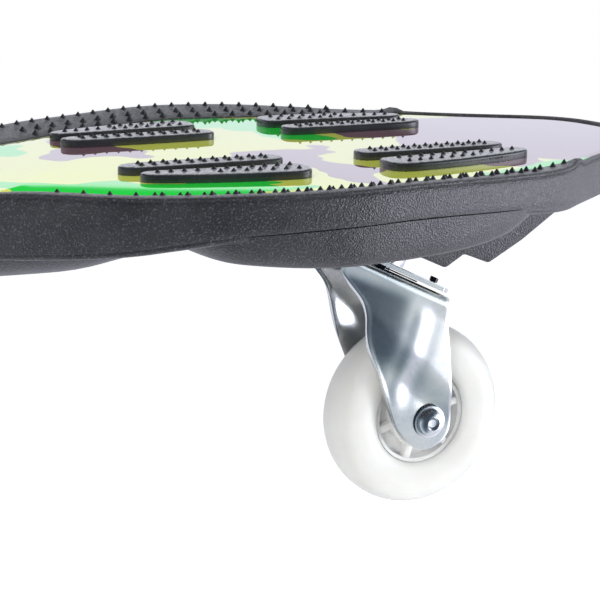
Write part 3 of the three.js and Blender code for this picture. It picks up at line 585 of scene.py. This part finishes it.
def wedge(platform, neck_side):
    """The block that gives the caster its lean; neck_side is 1 where the neck lies behind it."""
    def at(share):
        return WEDGE_REACH * share

    def seam_at(share):
        return seam_level(neck_side * at(share))

    apex = face_level(at(0.474))
    points = [
        (at(0.062), face_level(at(0.062))), (at(0.474), apex), (at(0.541), apex + 5.2),
        (at(0.633), apex + 0.4), (at(0.753), apex + 8.9), (at(0.992), seam_at(0.992) - 4.1),
        (at(0.992), seam_at(0.992) - 1.3), (at(0.66), seam_at(0.66) - 1.3),
        (at(0.55), belly_level(neck_side * at(0.55)) + 1.5),
    ]
    outline = [(platform + x, z) for x, z in points]
    block = slab("block", outline, -WEDGE_HALF_WIDTH, WEDGE_HALF_WIDTH, across=True)
    return eased(block, 1.2, 3, 25)


def lower_shell():
    belly, cover = skirt()
    rear_belly = twin(belly, "rear_belly", mirror=True)
    rear_cover = twin(cover, "rear_cover", mirror=True)
    front = joined("front_underside", [belly, cover, wedge(MIDDLE, 1)])
    rear = joined("rear_underside", [rear_belly, rear_cover, wedge(-MIDDLE, -1)])
    return smooth(front, 40), smooth(rear, 40)


# ---- Caster, made in its own frame: swivel axis upright, crown's top at zero

AXLE = (43.8, 0, -52)
REAR_EDGE = [
    (-27, 1), (-27.3, -3), (-26.6, -7), (-19.4, -11.3), (-11.6, -15.5), (-7, -20.5),
    (-3.2, -26.5), (1.2, -32.2), (5.8, -36.6), (10.6, -40.8), (16, -46), (21.4, -51.8),
    (26.6, -57), (30.4, -60.2), (34.6, -62.4), (39, -64), (43.8, -65.2),
]
FRONT_EDGE = [
    (27, 1), (27, -2), (28.6, -6.5), (32.4, -13), (38, -21.5), (44.6, -32.5), (50.2, -41.8),
    (53.4, -47.4), (55, -52.2), (54.8, -55.8), (53.2, -59.4), (50.6, -62.4), (47.4, -64.4),
    (43.8, -65.2),
]
# The legs' half spread at the crown and at the axle, the legs' depth, and the crown's half length
LEG_TOP, LEG_FOOT, LEG_DEPTH, CROWN_REACH = 20, 16.6, 65.2, 27
BEND, SHEET_THICK = 4.2, 2.3
FORK_COLUMNS, LEG_ROWS, BEND_ROWS, CROWN_ROWS = 26, 44, 7, 8


def edge_at(table, drop):
    """The edge's place along the fork at this depth."""
    for (x0, z0), (x1, z1) in zip(table, table[1:]):
        if drop >= z1:
            return x0 + (x1 - x0) * (drop - z0) / (z1 - z0)
    return table[-1][0]


def leg_offset(a, b, turned):
    """How far out a leg's face stands at the place a along the fork and at the depth b."""
    past = a - (15.6 - (b + 2.5) * 0.166)
    # The leg steps inward below a slanting line
    out = LEG_TOP + (LEG_FOOT - LEG_TOP) * ease((-b - 26 - past * 0.35) / 15)
    # A ridge runs down along the fold, with a hollow beside it
    ridge = math.exp(-(past / 3.4) ** 2) - 0.45 * math.exp(-((past - 6.4) / 3.6) ** 2)
    ridge_fade = ease((-b - 4) / 10) * (1 - ease((-b - 46) / 9))
    # The rear edge is rolled outward
    near_edge = max(0, 1 - (a - edge_at(REAR_EDGE, b)) / 1.8)
    rolled = 0.32 * near_edge ** 2 * ease((-b - 5) / 10) * (1 - ease((-b - 46) / 10))
    # Behind the fold the face is turned back, away from the wheel's rear
    reach = past + 7
    turned_back = 0.14 * reach ** 2 / (6 - reach) if reach < 0 else 0.045 * reach ** 2 / (reach + 4)
    turn_fade = ease((-b - 3) / 7) * (1 - ease((-b - 42) / 10))
    return out + 0.3 * ridge * ridge_fade + rolled - turned * turned_back * turn_fade


def fork_sheet():
    """Crown and both legs as one bent sheet; the far leg is turned back less."""
    rear = [(p.x, p.y) for p in flowing(REAR_EDGE, 5)]
    front = [(p.x, p.y) for p in flowing(FRONT_EDGE, 5)]
    depths = [-BEND] + [
        -BEND - (LEG_DEPTH - BEND) * (1 - math.cos(i / LEG_ROWS * math.pi * 0.5) ** 1.25)
        for i in range(1, LEG_ROWS + 1)
    ]

    def across(low, high):
        return [low + (high - low) * i / FORK_COLUMNS for i in range(FORK_COLUMNS + 1)]

    def leg(side, turned):
        return [[(a, side * leg_offset(a, b, turned), b) for a in
                 across(edge_at(rear, b), edge_at(front, b))] for b in depths]

    crown = []
    for i in range(1, BEND_ROWS):
        angle = i / BEND_ROWS * math.pi / 2
        crown.append((-LEG_TOP + BEND * (1 - math.cos(angle)), -BEND * (1 - math.sin(angle))))
    for i in range(CROWN_ROWS + 1):
        crown.append((-LEG_TOP + BEND + (LEG_TOP - BEND) * i / CROWN_ROWS, 0))
    crown += [(-y, z) for y, z in crown[-2::-1]]
    rows = leg(-1, 1.0)[::-1]
    for y, z in crown:
        corner = 1 - math.sqrt(max(0, 1 - max(0, (abs(y) - 17) / 5) ** 2))
        reach = CROWN_REACH - 3.2 * corner
        rows.append([(x, y, z) for x in across(-reach, reach)])
    rows += leg(1, 0.25)
    sheet = laid_grid("front_fork_sheet", rows)
    modified(sheet, "SOLIDIFY", thickness=SHEET_THICK * MM, offset=-1, use_even_offset=True)
    return smooth(leaned(eased(sheet, 0.45, 2, 50), SEAT), 40)


def seat_spun(name, profile, steps=48, axle=False):
    """A turned piece on the swivel axis, or on the wheel's axle with its heights running away."""
    centre, axis = (AXLE, ACROSS) if axle else (ORIGIN, UP)
    return leaned(spun(name, profile, centre, axis, steps), SEAT)


def wheel_profile():
    half = [
        (40.5, 0), (40.35, 2.6), (39.7, 5.4), (38.3, 8.2), (36.1, 10.3), (33.2, 11.6), (30, 12),
        (27, 11.8), (24.2, 11.2), (22.4, 10.4), (21.4, 9.3), (21.1, 8.2),
    ]
    curve = [(p.x, p.y) for p in flowing(half, 3)]
    return curve[::-1] + [(r, -h) for r, h in curve[1:]]


# The hub core's turned parts, as (radius, height) profiles and their steps round the axle
CORE_RINGS = {
    "ring": ([(19.4, -8), (20.9, -8.4), (20.9, 8.4), (19.4, 8)], 72),
    "boss": ([(11.1, -10.4), (13.2, -10.4), (13.8, -9.8), (13.8, 9.8), (13.2, 10.4),
              (11.1, 10.4)], 64),
    "web": ([(11.1, -3.2), (21, -3.2), (21, 3.2), (11.1, 3.2)], 64),
}
SPOKES, SPOKE_TURN, SPOKE_PLACE, SPOKE_SIZE = 6, 0.35, (16.7, 0, 0), (9, 15.4, 3.4)


def core():
    """White hub: a ring, a bearing boss, a web and filleted spokes with pockets between."""
    pieces = [spun(name, profile, AXLE, ACROSS, steps)
              for name, (profile, steps) in CORE_RINGS.items()]
    for i in range(SPOKES):
        bpy.ops.mesh.primitive_cube_add(size=1)
        spoke = added("spoke")
        spoke.matrix_world = (
            Matrix.Translation(Vector(AXLE) * MM)
            @ Matrix.Rotation(TURN * i / SPOKES + SPOKE_TURN, 4, "Y")
            @ Matrix.Translation(Vector(SPOKE_PLACE) * MM)
            @ Matrix.Diagonal((*(size * MM for size in SPOKE_SIZE), 1))
        )
        pieces.append(eased(settle(spoke), 0.8, 3))
    return smooth(leaned(joined("front_hub_core", pieces), SEAT), 35)


def axle_bolt():
    """Flanged bolt head, drawn outward from the near leg's face, and its shank."""
    face = -16.9
    head = [(0, 3.2), (1.7, 3.3), (2.3, 3.9), (2.9, 4.3), (4.2, 4.1), (5.3, 3.2), (5.9, 2),
            (6.05, 1.1), (6.3, 1), (7.0, 0.95), (7.2, 0.7), (7.2, 0), (4, 0)]
    shank = [(4, 24.6), (3.6, 25), (0, 25)]
    profile = [(radius, face - out) for radius, out in head] + shank
    return seat_spun("front_axle_bolt_turned", profile, 56, axle=True)


# ---- Finishes

def feed(tree, item, inputs):
    """Sets a node's inputs, each to a value or to another node's socket; colours come as RGB."""
    for key, value in inputs.items():
        if isinstance(value, bpy.types.NodeSocket):
            tree.links.new(value, item.inputs[key])
        else:
            is_colour = item.inputs[key].type == "RGBA"
            item.inputs[key].default_value = (*value, 1) if is_colour else value


def node(tree, kind, inputs=None, **settings):
    item = tree.nodes.new("ShaderNode" + kind)
    for key, value in settings.items():
        setattr(item, key, value)
    feed(tree, item, inputs or {})
    return item


def combined(tree, operation, *values, **settings):
    """The result of a Math node."""
    return node(tree, "Math", dict(enumerate(values)), operation=operation, **settings).outputs[0]


def vector_result(tree, operation, *values):
    """The result of a Vector Math node: a number for a length or a dot product."""
    outputs = node(tree, "VectorMath", dict(enumerate(values)), operation=operation).outputs
    return outputs["Value" if operation in ("LENGTH", "DOT_PRODUCT") else "Vector"]


def noise(tree, place, size, detail, roughness=0.5, distortion=0.0):
    return node(tree, "TexNoise", {
        "Vector": place, "Scale": size, "Detail": detail, "Roughness": roughness,
        "Distortion": distortion,
    }).outputs


def bumped(tree, height, strength, distance=0.0002):
    return node(tree, "Bump", {
        "Strength": strength, "Distance": distance, "Height": height,
    }).outputs["Normal"]


def mix(tree, factor, a, b):
    return node(tree, "Mix", {0: factor, 6: a, 7: b}, data_type="RGBA").outputs[2]


def scaled(tree, value, low, high, to_low=0.0, to_high=1.0):
    return node(tree, "MapRange", {
        "Value": value, "From Min": low, "From Max": high, "To Min": to_low, "To Max": to_high,
    }).outputs["Result"]


def ramp(tree, factor, stops):
    item = node(tree, "ValToRGB", {"Fac": factor})
    elements = item.color_ramp.elements
    while len(elements) < len(stops):
        elements.new(0.5)
    for element, (place, colour) in zip(elements, stops):
        element.position = place
        element.color = (*colour, 1)
    return item.outputs["Color"]


def grey(value):
    return (value, value, value)


def shades(colour, share, blue_share):
    """The colour made brighter, with its own share for blue."""
    return (colour[0] * share, colour[1] * share, colour[2] * blue_share)


def object_place(tree):
    return node(tree, "TexCoord").outputs["Object"]


def group(name, inputs, outputs):
    """An empty node group, its given values and its results."""
    tree = bpy.data.node_groups.new(name, "ShaderNodeTree")
    for label, kind, value in inputs:
        socket = tree.interface.new_socket(
            label, in_out="INPUT", socket_type="NodeSocket" + kind)
        if value is not None:
            socket.default_value = value
    for label, kind in outputs:
        tree.interface.new_socket(label, in_out="OUTPUT", socket_type="NodeSocket" + kind)
    return tree, tree.nodes.new("NodeGroupInput").outputs, tree.nodes.new("NodeGroupOutput")


def placed(tree, group_tree, **inputs):
    return node(tree, "Group", inputs, node_tree=group_tree).outputs


def moulding_grain():
    """Leather-like moulding grain: a bump, a slow mottle, and pale dots on the grain's peaks that
    are painted glints of light.
    """
    tree, given, result = group(
        "moulding_grain",
        [("Vector", "Vector", None), ("Size", "Float", 900.0), ("Depth", "Float", 0.2)],
        [("Normal", "Vector"), ("Mottle", "Float"), ("Glints", "Float")],
    )
    place, size = given["Vector"], given["Size"]
    cells = node(tree, "TexVoronoi", {"Vector": place, "Scale": size, "Randomness": 1.0})
    fine = noise(tree, place, size, 3.0, 0.6)["Fac"]
    height = combined(tree, "ADD", cells.outputs["Distance"], fine)
    feed(tree, result, {
        "Normal": bumped(tree, height, given["Depth"], 0.0004),
        "Mottle": noise(tree, place, 38.0, 4.0, 0.6)["Fac"],
        # Pale dots where the grain stands highest: painted glints of light
        "Glints": scaled(tree, fine, 0.55, 0.7),
    })
    return tree


def edge_wear():
    """Worn edges: a mask that is 1 where the surface turns sharply, broken up by noise."""
    tree, given, result = group(
        "edge_wear",
        [("Vector", "Vector", None), ("Radius", "Float", 0.0006), ("Amount", "Float", 1.0)],
        [("Mask", "Float")],
    )
    rounded = node(tree, "Bevel", {"Radius": given["Radius"]}, samples=4).outputs[0]
    facing = node(tree, "NewGeometry").outputs["Normal"]
    sharp = scaled(tree, vector_result(tree, "DOT_PRODUCT", rounded, facing), 0.995, 0.9)
    broken = scaled(tree, noise(tree, given["Vector"], 420.0, 3.0)["Fac"], 0.35, 0.6)
    worn = combined(tree, "MULTIPLY", sharp, broken)
    feed(tree, result, {
        "Mask": combined(tree, "MULTIPLY", worn, given["Amount"], use_clamp=True)})
    return tree


def smears():
    """Handling dust and smears: a soft cloudy mask and a fine noise."""
    tree, given, result = group(
        "smears", [("Vector", "Vector", None), ("Size", "Float", 60.0)],
        [("Mask", "Float"), ("Fine", "Float")],
    )
    cloud = noise(tree, given["Vector"], given["Size"], 5.0, 0.65, 0.6)["Fac"]
    feed(tree, result, {
        "Mask": scaled(tree, cloud, 0.4, 0.7),
        "Fine": noise(tree, given["Vector"], 1400.0, 2.0)["Fac"],
    })
    return tree


def dust_and_sheen_tops():
    """Faces that look up, lightened: fine dust and scuffing together with a painted sheen; a mask
    broken up by noise.
    """
    tree, given, result = group(
        "dust_and_sheen_tops", [("Vector", "Vector", None)], [("Mask", "Float")])
    rise = node(tree, "SeparateXYZ", {0: node(tree, "TexCoord").outputs["Normal"]}).outputs["Z"]
    grit = noise(tree, given["Vector"], 700.0, 4.0, 0.7)["Fac"]
    # The mask lightens the tops, for dust and for a painted sheen of light on them
    feed(tree, result, {"Mask": combined(
        tree, "MULTIPLY", scaled(tree, rise, 0.75, 0.97), scaled(tree, grit, 0.3, 0.65))})
    return tree


GRAIN, WEAR, SMEAR, TOP_DUST_AND_SHEEN = moulding_grain(), edge_wear(), smears(), dust_and_sheen_tops()


def finish(name):
    """A new material, its node tree and its shader."""
    made = bpy.data.materials.new(name)
    made.use_nodes = True
    return made, made.node_tree, made.node_tree.nodes["Principled BSDF"]


def moulded_plastic(name, dark, pale, grain, depth, rough, glints, top_dust_and_sheen):
    """Grained black plastic with pale dots painted as glints on the grain, rubbed edges, and tops
    lightened by dust and a painted sheen.
    """
    made, tree, shader = finish(name)
    place = object_place(tree)
    grained = placed(tree, GRAIN, Vector=place, Size=grain, Depth=depth)
    glint = combined(tree, "MULTIPLY", grained["Glints"], glints)
    worn = placed(tree, WEAR, Vector=place, Radius=0.0007, Amount=0.5)["Mask"]
    top_dust_and_sheen_mask = placed(tree, TOP_DUST_AND_SHEEN, Vector=place)["Mask"]
    base = mix(tree, scaled(tree, grained["Mottle"], 0.3, 0.7), dark, pale)
    # Pale dots on the grain's peaks: painted glints of light
    base = mix(tree, glint, base, shades(pale, 3.2, 3.3))
    base = mix(tree, worn, base, shades(pale, 2.4, 2.5))
    # Faces that look up are lightened: dust and scuffing, and a painted sheen on the tops
    base = mix(tree, top_dust_and_sheen_mask, base, (top_dust_and_sheen, top_dust_and_sheen, top_dust_and_sheen * 1.06))
    feed(tree, shader, {
        "Base Color": base, "Normal": grained["Normal"], "Specular IOR Level": 0.75,
        "Roughness": scaled(tree, grained["Mottle"], 0.2, 0.8, rough - 0.05, rough + 0.07),
    })
    return made


def plated_metal(name, colour, rough, tint, spangle=0.5, wear=0.6):
    """Zinc or chrome plate: slow colour clouds, fine spangle and rubbed edges."""
    made, tree, shader = finish(name)
    place = object_place(tree)
    smear = placed(tree, SMEAR, Vector=place, Size=55.0)
    rubbed = placed(tree, WEAR, Vector=place, Radius=0.0005, Amount=wear)["Mask"]
    base = mix(tree, smear["Mask"], colour, tint)
    low, high = rough - 0.06 * spangle, rough + 0.1 * spangle
    feed(tree, shader, {
        "Base Color": mix(tree, rubbed, base, (0.86, 0.88, 0.9)), "Metallic": 1,
        "Roughness": scaled(tree, smear["Fine"], 0.3, 0.7, low, high),
        "Normal": bumped(tree, smear["Fine"], 0.12 * spangle),
    })
    return made


def milky_plastic(name, colour, shade, rough, scatter):
    """White plastic or urethane that light enters a little."""
    made, tree, shader = finish(name)
    smear = placed(tree, SMEAR, Vector=object_place(tree), Size=40.0)
    feed(tree, shader, {
        "Base Color": mix(tree, smear["Mask"], colour, shade),
        "Roughness": scaled(tree, smear["Fine"], 0.2, 0.8, rough - 0.04, rough + 0.05),
        "Subsurface Weight": scatter, "Subsurface Radius": (1.0, 0.9, 0.8),
        "Subsurface Scale": 0.004, "Normal": bumped(tree, smear["Fine"], 0.05),
    })
    return made


# Camouflage patches on a platform, in millimetres: x, y, half length, half width, turn in degrees
GREEN_PATCHES = [
    (-96, -60, 40, 12, -38), (-62, -79, 28, 11, -5), (-53, -67, 17, 8, -6), (10, 58, 10, 14, 0),
    (19, 34, 12, 17, 0), (72, -72, 25, 6.5, 24), (-4, 78, 26, 13, 0), (108, -62, 26, 8, 38),
    (-118, 44, 16, 9, -50), (118, 60, 26, 6, -32), (-70, 78, 20, 6, 14),
]
BROWN_PATCHES = [
    (-72, 22, 19, 24, 0), (70, -57, 16, 10, 3), (-6, -14, 26, 15, -10), (-4, -48, 14, 38, 4),
    (118, -6, 58, 60, 0), (62, 76, 26, 8, -22), (-36, 62, 22, 8, 10), (56, 21, 20, 9, -6),
]
LIME, GREEN, BROWN = (0.84, 0.92, 0.13), (0.01, 0.82, 0.05), (0.24, 0.12, 0.15)


def camouflage():
    """Lime plate with green and brown patches under a clear, very glossy film."""
    made, tree, shader = finish("camouflage_plate_film")
    split = node(tree, "SeparateXYZ", {0: object_place(tree)}).outputs
    from_middle = combined(
        tree, "SUBTRACT", combined(tree, "ABSOLUTE", split["X"]), MIDDLE * MM)
    flat = node(tree, "CombineXYZ", {"X": from_middle, "Y": split["Y"]}).outputs[0]
    wobble = noise(tree, flat, 26.0, 2.0, 0.45)["Color"]
    push = vector_result(tree, "SUBTRACT", wobble, (0.5, 0.5, 0.5))
    push = vector_result(tree, "MULTIPLY", push, (0.055, 0.055, 0))
    ground = vector_result(tree, "ADD", flat, push)

    def patches(table):
        """1 inside the patches: the ground's distance to each, in patch sizes, is under 1."""
        nearest = None
        for x, y, half_length, half_width, angle in table:
            local = node(tree, "Mapping", {
                "Vector": ground, "Location": (x * MM, y * MM, 0),
                "Rotation": (0, 0, math.radians(angle)),
                "Scale": (half_length * MM, half_width * MM, 1),
            }, vector_type="TEXTURE").outputs[0]
            length = vector_result(tree, "LENGTH", local)
            nearest = length if nearest is None else combined(tree, "MINIMUM", nearest, length)
        return scaled(tree, nearest, 1.012, 0.988)

    base = mix(tree, patches(BROWN_PATCHES), LIME, BROWN)
    base = mix(tree, patches(GREEN_PATCHES), base, GREEN)
    smear = placed(tree, SMEAR, Vector=flat, Size=30.0)["Mask"]
    feed(tree, shader, {
        "Base Color": base, "Roughness": scaled(tree, smear, 0, 1, 0.03, 0.06), "IOR": 2.0,
        "Coat Weight": 1, "Coat IOR": 1.6, "Coat Roughness": 0.02,
        "Normal": bumped(tree, smear, 0.03),
    })
    return made


# Each finish's top colour lightens faces that look up: dust, and a painted sheen, strongest on the
# grip bars' tops
PLASTIC = moulded_plastic(
    "moulded_black_plastic", (0.018, 0.018, 0.02), (0.044, 0.044, 0.049),
    grain=1450, depth=0.56, rough=0.34, glints=1.0, top_dust_and_sheen=0.2)
BAR_PLASTIC = moulded_plastic(
    "grip_bar_plastic", (0.018, 0.02, 0.023), (0.036, 0.038, 0.043),
    grain=1300, depth=0.07, rough=0.2, glints=0.2, top_dust_and_sheen=0.42)
STUD_PLASTIC = moulded_plastic(
    "stud_plastic", (0.009, 0.009, 0.01), (0.018, 0.018, 0.02),
    grain=1500, depth=0.15, rough=0.42, glints=0.1, top_dust_and_sheen=0.03)
RUBBER = moulded_plastic(
    "seal_rubber", grey(0.012), grey(0.02),
    grain=700, depth=0.2, rough=0.7, glints=0.1, top_dust_and_sheen=0.03)
ZINC = plated_metal("zinc_plated_sheet", (0.74, 0.74, 0.71), 0.18, (0.58, 0.6, 0.64))
BRIGHT = plated_metal("bright_plated_steel", (0.84, 0.85, 0.86), 0.26, (0.7, 0.72, 0.75), 0.3)
DARK_STEEL = plated_metal(
    "blackened_steel", (0.05, 0.05, 0.055), 0.3, (0.09, 0.085, 0.085), 0.6, 0.3)
TUBE_STEEL = plated_metal("neck_tube_steel", (0.55, 0.57, 0.6), 0.24, (0.42, 0.44, 0.47))
TYRE_WHITE = milky_plastic("milky_tyre", (0.85, 0.85, 0.83), (0.8, 0.8, 0.78), 0.3, 0.6)
CORE_WHITE = milky_plastic(
    "white_hub_plastic", (0.84, 0.84, 0.83), (0.78, 0.78, 0.77), 0.36, 0.2)
NYLON = milky_plastic("nylon_bush", (0.72, 0.7, 0.63), (0.66, 0.64, 0.57), 0.45, 0.2)


def dress(obj, finish_made):
    obj.data.materials.clear()
    obj.data.materials.append(finish_made)


def fitted(obj, finish_made, slot, body, cad_node):
    """A piece gets its finish and its body, and the CAD node that it stands for is hidden. The slot
    is not used.
    """
    dress(obj, finish_made)
    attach(obj, body)
    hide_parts(cad_node)

# ---- Platforms

platform_pieces = [
    (rim_and_wall(), PLASTIC, "black_plastic", "deck_shell"),
    (grip_bars(), BAR_PLASTIC, "black_plastic", "deck_shell"),
    (studs("front_bar_studs", bar_stud_spots(), 1.75, 1.5),
     STUD_PLASTIC, "black_plastic", "deck_shell"),
    (studs("front_rim_studs", rim_stud_spots(), 2.0, 2.2),
     STUD_PLASTIC, "black_plastic", "deck_shell"),
    (colour_plate(), camouflage(), "plate_paint", "deck_plate"),
    (neck_hub(), PLASTIC, "black_plastic", "deck_shell"),
]
underside, rear_underside = lower_shell()
for piece, finish_made, slot, cad_name in platform_pieces:
    rear_piece = twin(piece, piece.name.replace("front_", "rear_"), mirror=True)
    fitted(piece, finish_made, slot, "front_platform", "front_" + cad_name)
    fitted(rear_piece, finish_made, slot, "rear_platform", "rear_" + cad_name)
fitted(underside, PLASTIC, "black_plastic", "front_platform", "front_lower_shell")
fitted(rear_underside, PLASTIC, "black_plastic", "rear_platform", "rear_lower_shell")

# ---- Casters

COLLAR = [(4.3, 3.5), (9, 3.5), (9, 8.1), (8.6, 9.4), (7.4, 10.2), (6, 10.3), (4.3, 10.3)]
RACE = [(11, 0.3), (16.6, 0.3), (17, 0.5), (17, 0.7), (16.6, 0.9), (11, 0.9)]
caster_pieces = [
    (fork_sheet(), ZINC, "zinc_steel", "caster", "fork"),
    (axle_bolt(), BRIGHT, "bright_steel", "caster", "axle_bolt"),
    (seat_spun("front_collar_turned", COLLAR), BRIGHT, "bright_steel", "platform", "collar"),
    (seat_spun("front_ball_race", RACE), DARK_STEEL, "dark_steel", "platform", "swivel_race"),
    (seat_spun("front_soft_tyre", wheel_profile(), 96, axle=True),
     TYRE_WHITE, "white_tyre", "wheel", "tyre"),
    (core(), CORE_WHITE, "white_core", "wheel", "wheel_core"),
]
for piece, finish_made, slot, body, cad_name in caster_pieces:
    rear_piece = twin(piece, piece.name.replace("front_", "rear_"), offset=(-2 * MIDDLE, 0, 0))
    for end, made in (("front", piece), ("rear", rear_piece)):
        fitted(made, finish_made, slot, f"{end}_{body}", f"{end}_{cad_name}")

# ---- CAD pieces that stay

CAD_WELD = 0.00001


def soften(name, finish_made, width=0.3, degrees=30):
    """A CAD node that stays: its triangles are welded and its edges eased by live modifiers."""
    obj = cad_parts[name]
    dress(obj, finish_made)
    weld = obj.modifiers.new("weld", "WELD")
    weld.merge_threshold = CAD_WELD
    bevel = obj.modifiers.new("eased", "BEVEL")
    bevel.width, bevel.segments, bevel.limit_method = width * MM, 2, "ANGLE"
    bevel.angle_limit = math.radians(degrees)


STAYING = {
    "top_plate": (ZINC, 0.3), "plate_pin": (DARK_STEEL, 0.2), "king_bolt": (BRIGHT, 0.3),
    "axle_nut": (BRIGHT, 0.3), "axle_spacer_near": (BRIGHT, 0.15),
    "axle_spacer_far": (BRIGHT, 0.15), "inner_spacer": (BRIGHT, 0.15),
    "bearing_near": (BRIGHT, 0.15), "bearing_far": (BRIGHT, 0.15),
    **{f"cover_screw_{number}": (DARK_STEEL, 0.2) for number in (1, 2, 3, 4)},
}
for end in ("front", "rear"):
    for cad_name, (finish_made, width) in STAYING.items():
        soften(f"{end}_{cad_name}", finish_made, width)
    soften(f"neck_bush_{end}", NYLON, 0.2, 40)
    soften(f"neck_seal_{end}", RUBBER, 0.3, 40)
    soften(f"neck_clamp_bolt_{end}", BRIGHT, 0.3)
    soften(f"torsion_block_{end}", BRIGHT, 0.2, 40)
soften("neck_tube", TUBE_STEEL, 0.2, 40)
soften("neck_sleeve", PLASTIC, 0.3, 30)
soften("torsion_bar", DARK_STEEL, 0.2, 40)

# ---- Camera, light and surroundings

# The camera fitted to the photo: its turn, and its focal length in picture widths
YAW, PITCH, ROLL = math.radians(25.19), math.radians(14.13), math.radians(0.73)
FOCAL, SENSOR = 1738 / 600, 36
CAMERA_PLACE = Vector((-25.4, -636.8, 135.8)) * MM


def photo_camera():
    look = Vector((math.sin(YAW) * math.cos(PITCH), math.cos(YAW) * math.cos(PITCH),
                   -math.sin(PITCH)))
    level_right = look.cross(UP).normalized()
    level_up = level_right.cross(look)
    right = math.cos(ROLL) * level_right + math.sin(ROLL) * level_up
    above = -math.sin(ROLL) * level_right + math.cos(ROLL) * level_up
    camera = bpy.data.objects.new("camera", bpy.data.cameras.new("camera"))
    bpy.context.collection.objects.link(camera)
    camera.matrix_world = Matrix.Translation(CAMERA_PLACE) @ Matrix((
        (right.x, above.x, -look.x), (right.y, above.y, -look.y), (right.z, above.z, -look.z),
    )).to_4x4()
    camera.data.sensor_width = SENSOR
    camera.data.lens = SENSOR * FOCAL
    camera.data.clip_start, camera.data.clip_end = 0.02, 50
    return camera


def soft_lamp(name, place, aim, size, power, colour):
    """An area lamp that lights the object but isn't mirrored in it."""
    lamp = bpy.data.objects.new(name, bpy.data.lights.new(name, "AREA"))
    lamp.data.shape, lamp.data.size, lamp.data.size_y = "RECTANGLE", size[0], size[1]
    lamp.data.energy, lamp.data.color = power, colour
    lamp.visible_glossy = False
    bpy.context.collection.objects.link(lamp)
    lamp.location = place
    lamp.rotation_mode = "QUATERNION"
    lamp.rotation_quaternion = (Vector(aim) - Vector(place)).to_track_quat("-Z", "Y")


def studio_floor():
    """A pale paper floor that glows for the camera, so that it shows white with a soft shadow."""
    bpy.ops.mesh.primitive_grid_add(
        x_subdivisions=8, y_subdivisions=8, size=14, location=(0, 0, -0.75))
    floor = settle(added("studio_floor"))
    made, tree, shader = finish("studio_floor_paper")
    paper = node(tree, "TexNoise", {"Scale": 3.0, "Detail": 2.0}).outputs["Fac"]
    feed(tree, shader, {"Base Color": mix(tree, paper, grey(0.9), grey(0.93)), "Roughness": 0.9})
    rays = node(tree, "LightPath").outputs
    seen = combined(tree, "MAXIMUM", rays["Is Camera Ray"], rays["Is Glossy Ray"])
    seen = combined(tree, "MAXIMUM", seen, rays["Is Transmission Ray"])
    glow = node(tree, "Emission", {"Color": grey(1), "Strength": 0.62}).outputs[0]
    white = node(tree, "AddShader", {0: shader.outputs[0], 1: glow}).outputs[0]
    blend = node(tree, "MixShader", {0: seen, 1: shader.outputs[0], 2: white}).outputs[0]
    feed(tree, tree.nodes["Material Output"], {"Surface": blend})
    floor.visible_glossy = False
    dress(floor, made)


def studio_world():
    """White for the camera and soft light for the rest. What the plating and the plate's film
    mirror is a studio: dark above, white low behind and to the right, with one bright round box."""
    world = bpy.data.worlds.new("studio")
    bpy.context.scene.world = world
    world.use_nodes = True
    sky = world.node_tree
    ambient = sky.nodes["Background"]
    feed(sky, ambient, {"Color": grey(1), "Strength": 0.42})
    rays = node(sky, "LightPath").outputs
    direct = combined(sky, "MAXIMUM", rays["Is Camera Ray"], rays["Is Transmission Ray"])
    plain = node(sky, "Background", {"Color": grey(1), "Strength": 1.0}).outputs[0]
    direction = node(sky, "TexCoord").outputs["Generated"]
    way = node(sky, "SeparateXYZ", {0: direction}).outputs
    raised = combined(sky, "MAXIMUM", way["Z"], 0.26)
    behind = combined(sky, "ADD", combined(sky, "MULTIPLY_ADD", raised, -5.5, way["Y"]), 1.43)
    beside = combined(
        sky, "SUBTRACT", vector_result(sky, "DOT_PRODUCT", direction, (2.6, 0, -1.6)), 1.56)
    open_side = scaled(sky, combined(sky, "MAXIMUM", behind, beside), -0.9, 0.45)
    studio = ramp(sky, open_side, [
        (0, (0.05, 0.07, 0.1)), (0.35, (0.16, 0.21, 0.27)), (0.6, (0.47, 0.56, 0.62)),
        (0.85, (0.8, 0.85, 0.92)), (1, (0.86, 0.88, 1.0)),
    ])
    box = vector_result(sky, "DOT_PRODUCT", direction, (0.87, -0.48, -0.1))
    strength = scaled(sky, box, 0.86, 0.99, 1.0, 5.2)
    mirror = node(sky, "Background", {"Color": studio, "Strength": strength}).outputs[0]
    shine = node(sky, "MixShader", {
        0: rays["Is Glossy Ray"], 1: ambient.outputs[0], 2: mirror}).outputs[0]
    whole = node(sky, "MixShader", {0: direct, 1: shine, 2: plain}).outputs[0]
    feed(sky, sky.nodes["World Output"], {"Surface": whole})


bpy.context.scene.camera = photo_camera()
soft_lamp("overhead_softbox", (0.2, 0.3, 1.5), (0.2, 0, 0), (1.6, 0.8), 16, (1, 1, 1))
soft_lamp("right_front_softbox", (1.45, -0.95, -0.12), (0.3, 0, 0), (0.45, 0.75), 13,
          (0.95, 0.97, 1))
soft_lamp("left_front_softbox", (-1.1, -1.3, 0.5), (0.2, 0, -0.05), (0.6, 0.8), 16, (1, 1, 1))
studio_floor()
studio_world()

bpy.context.scene.view_settings.view_transform = "Standard"
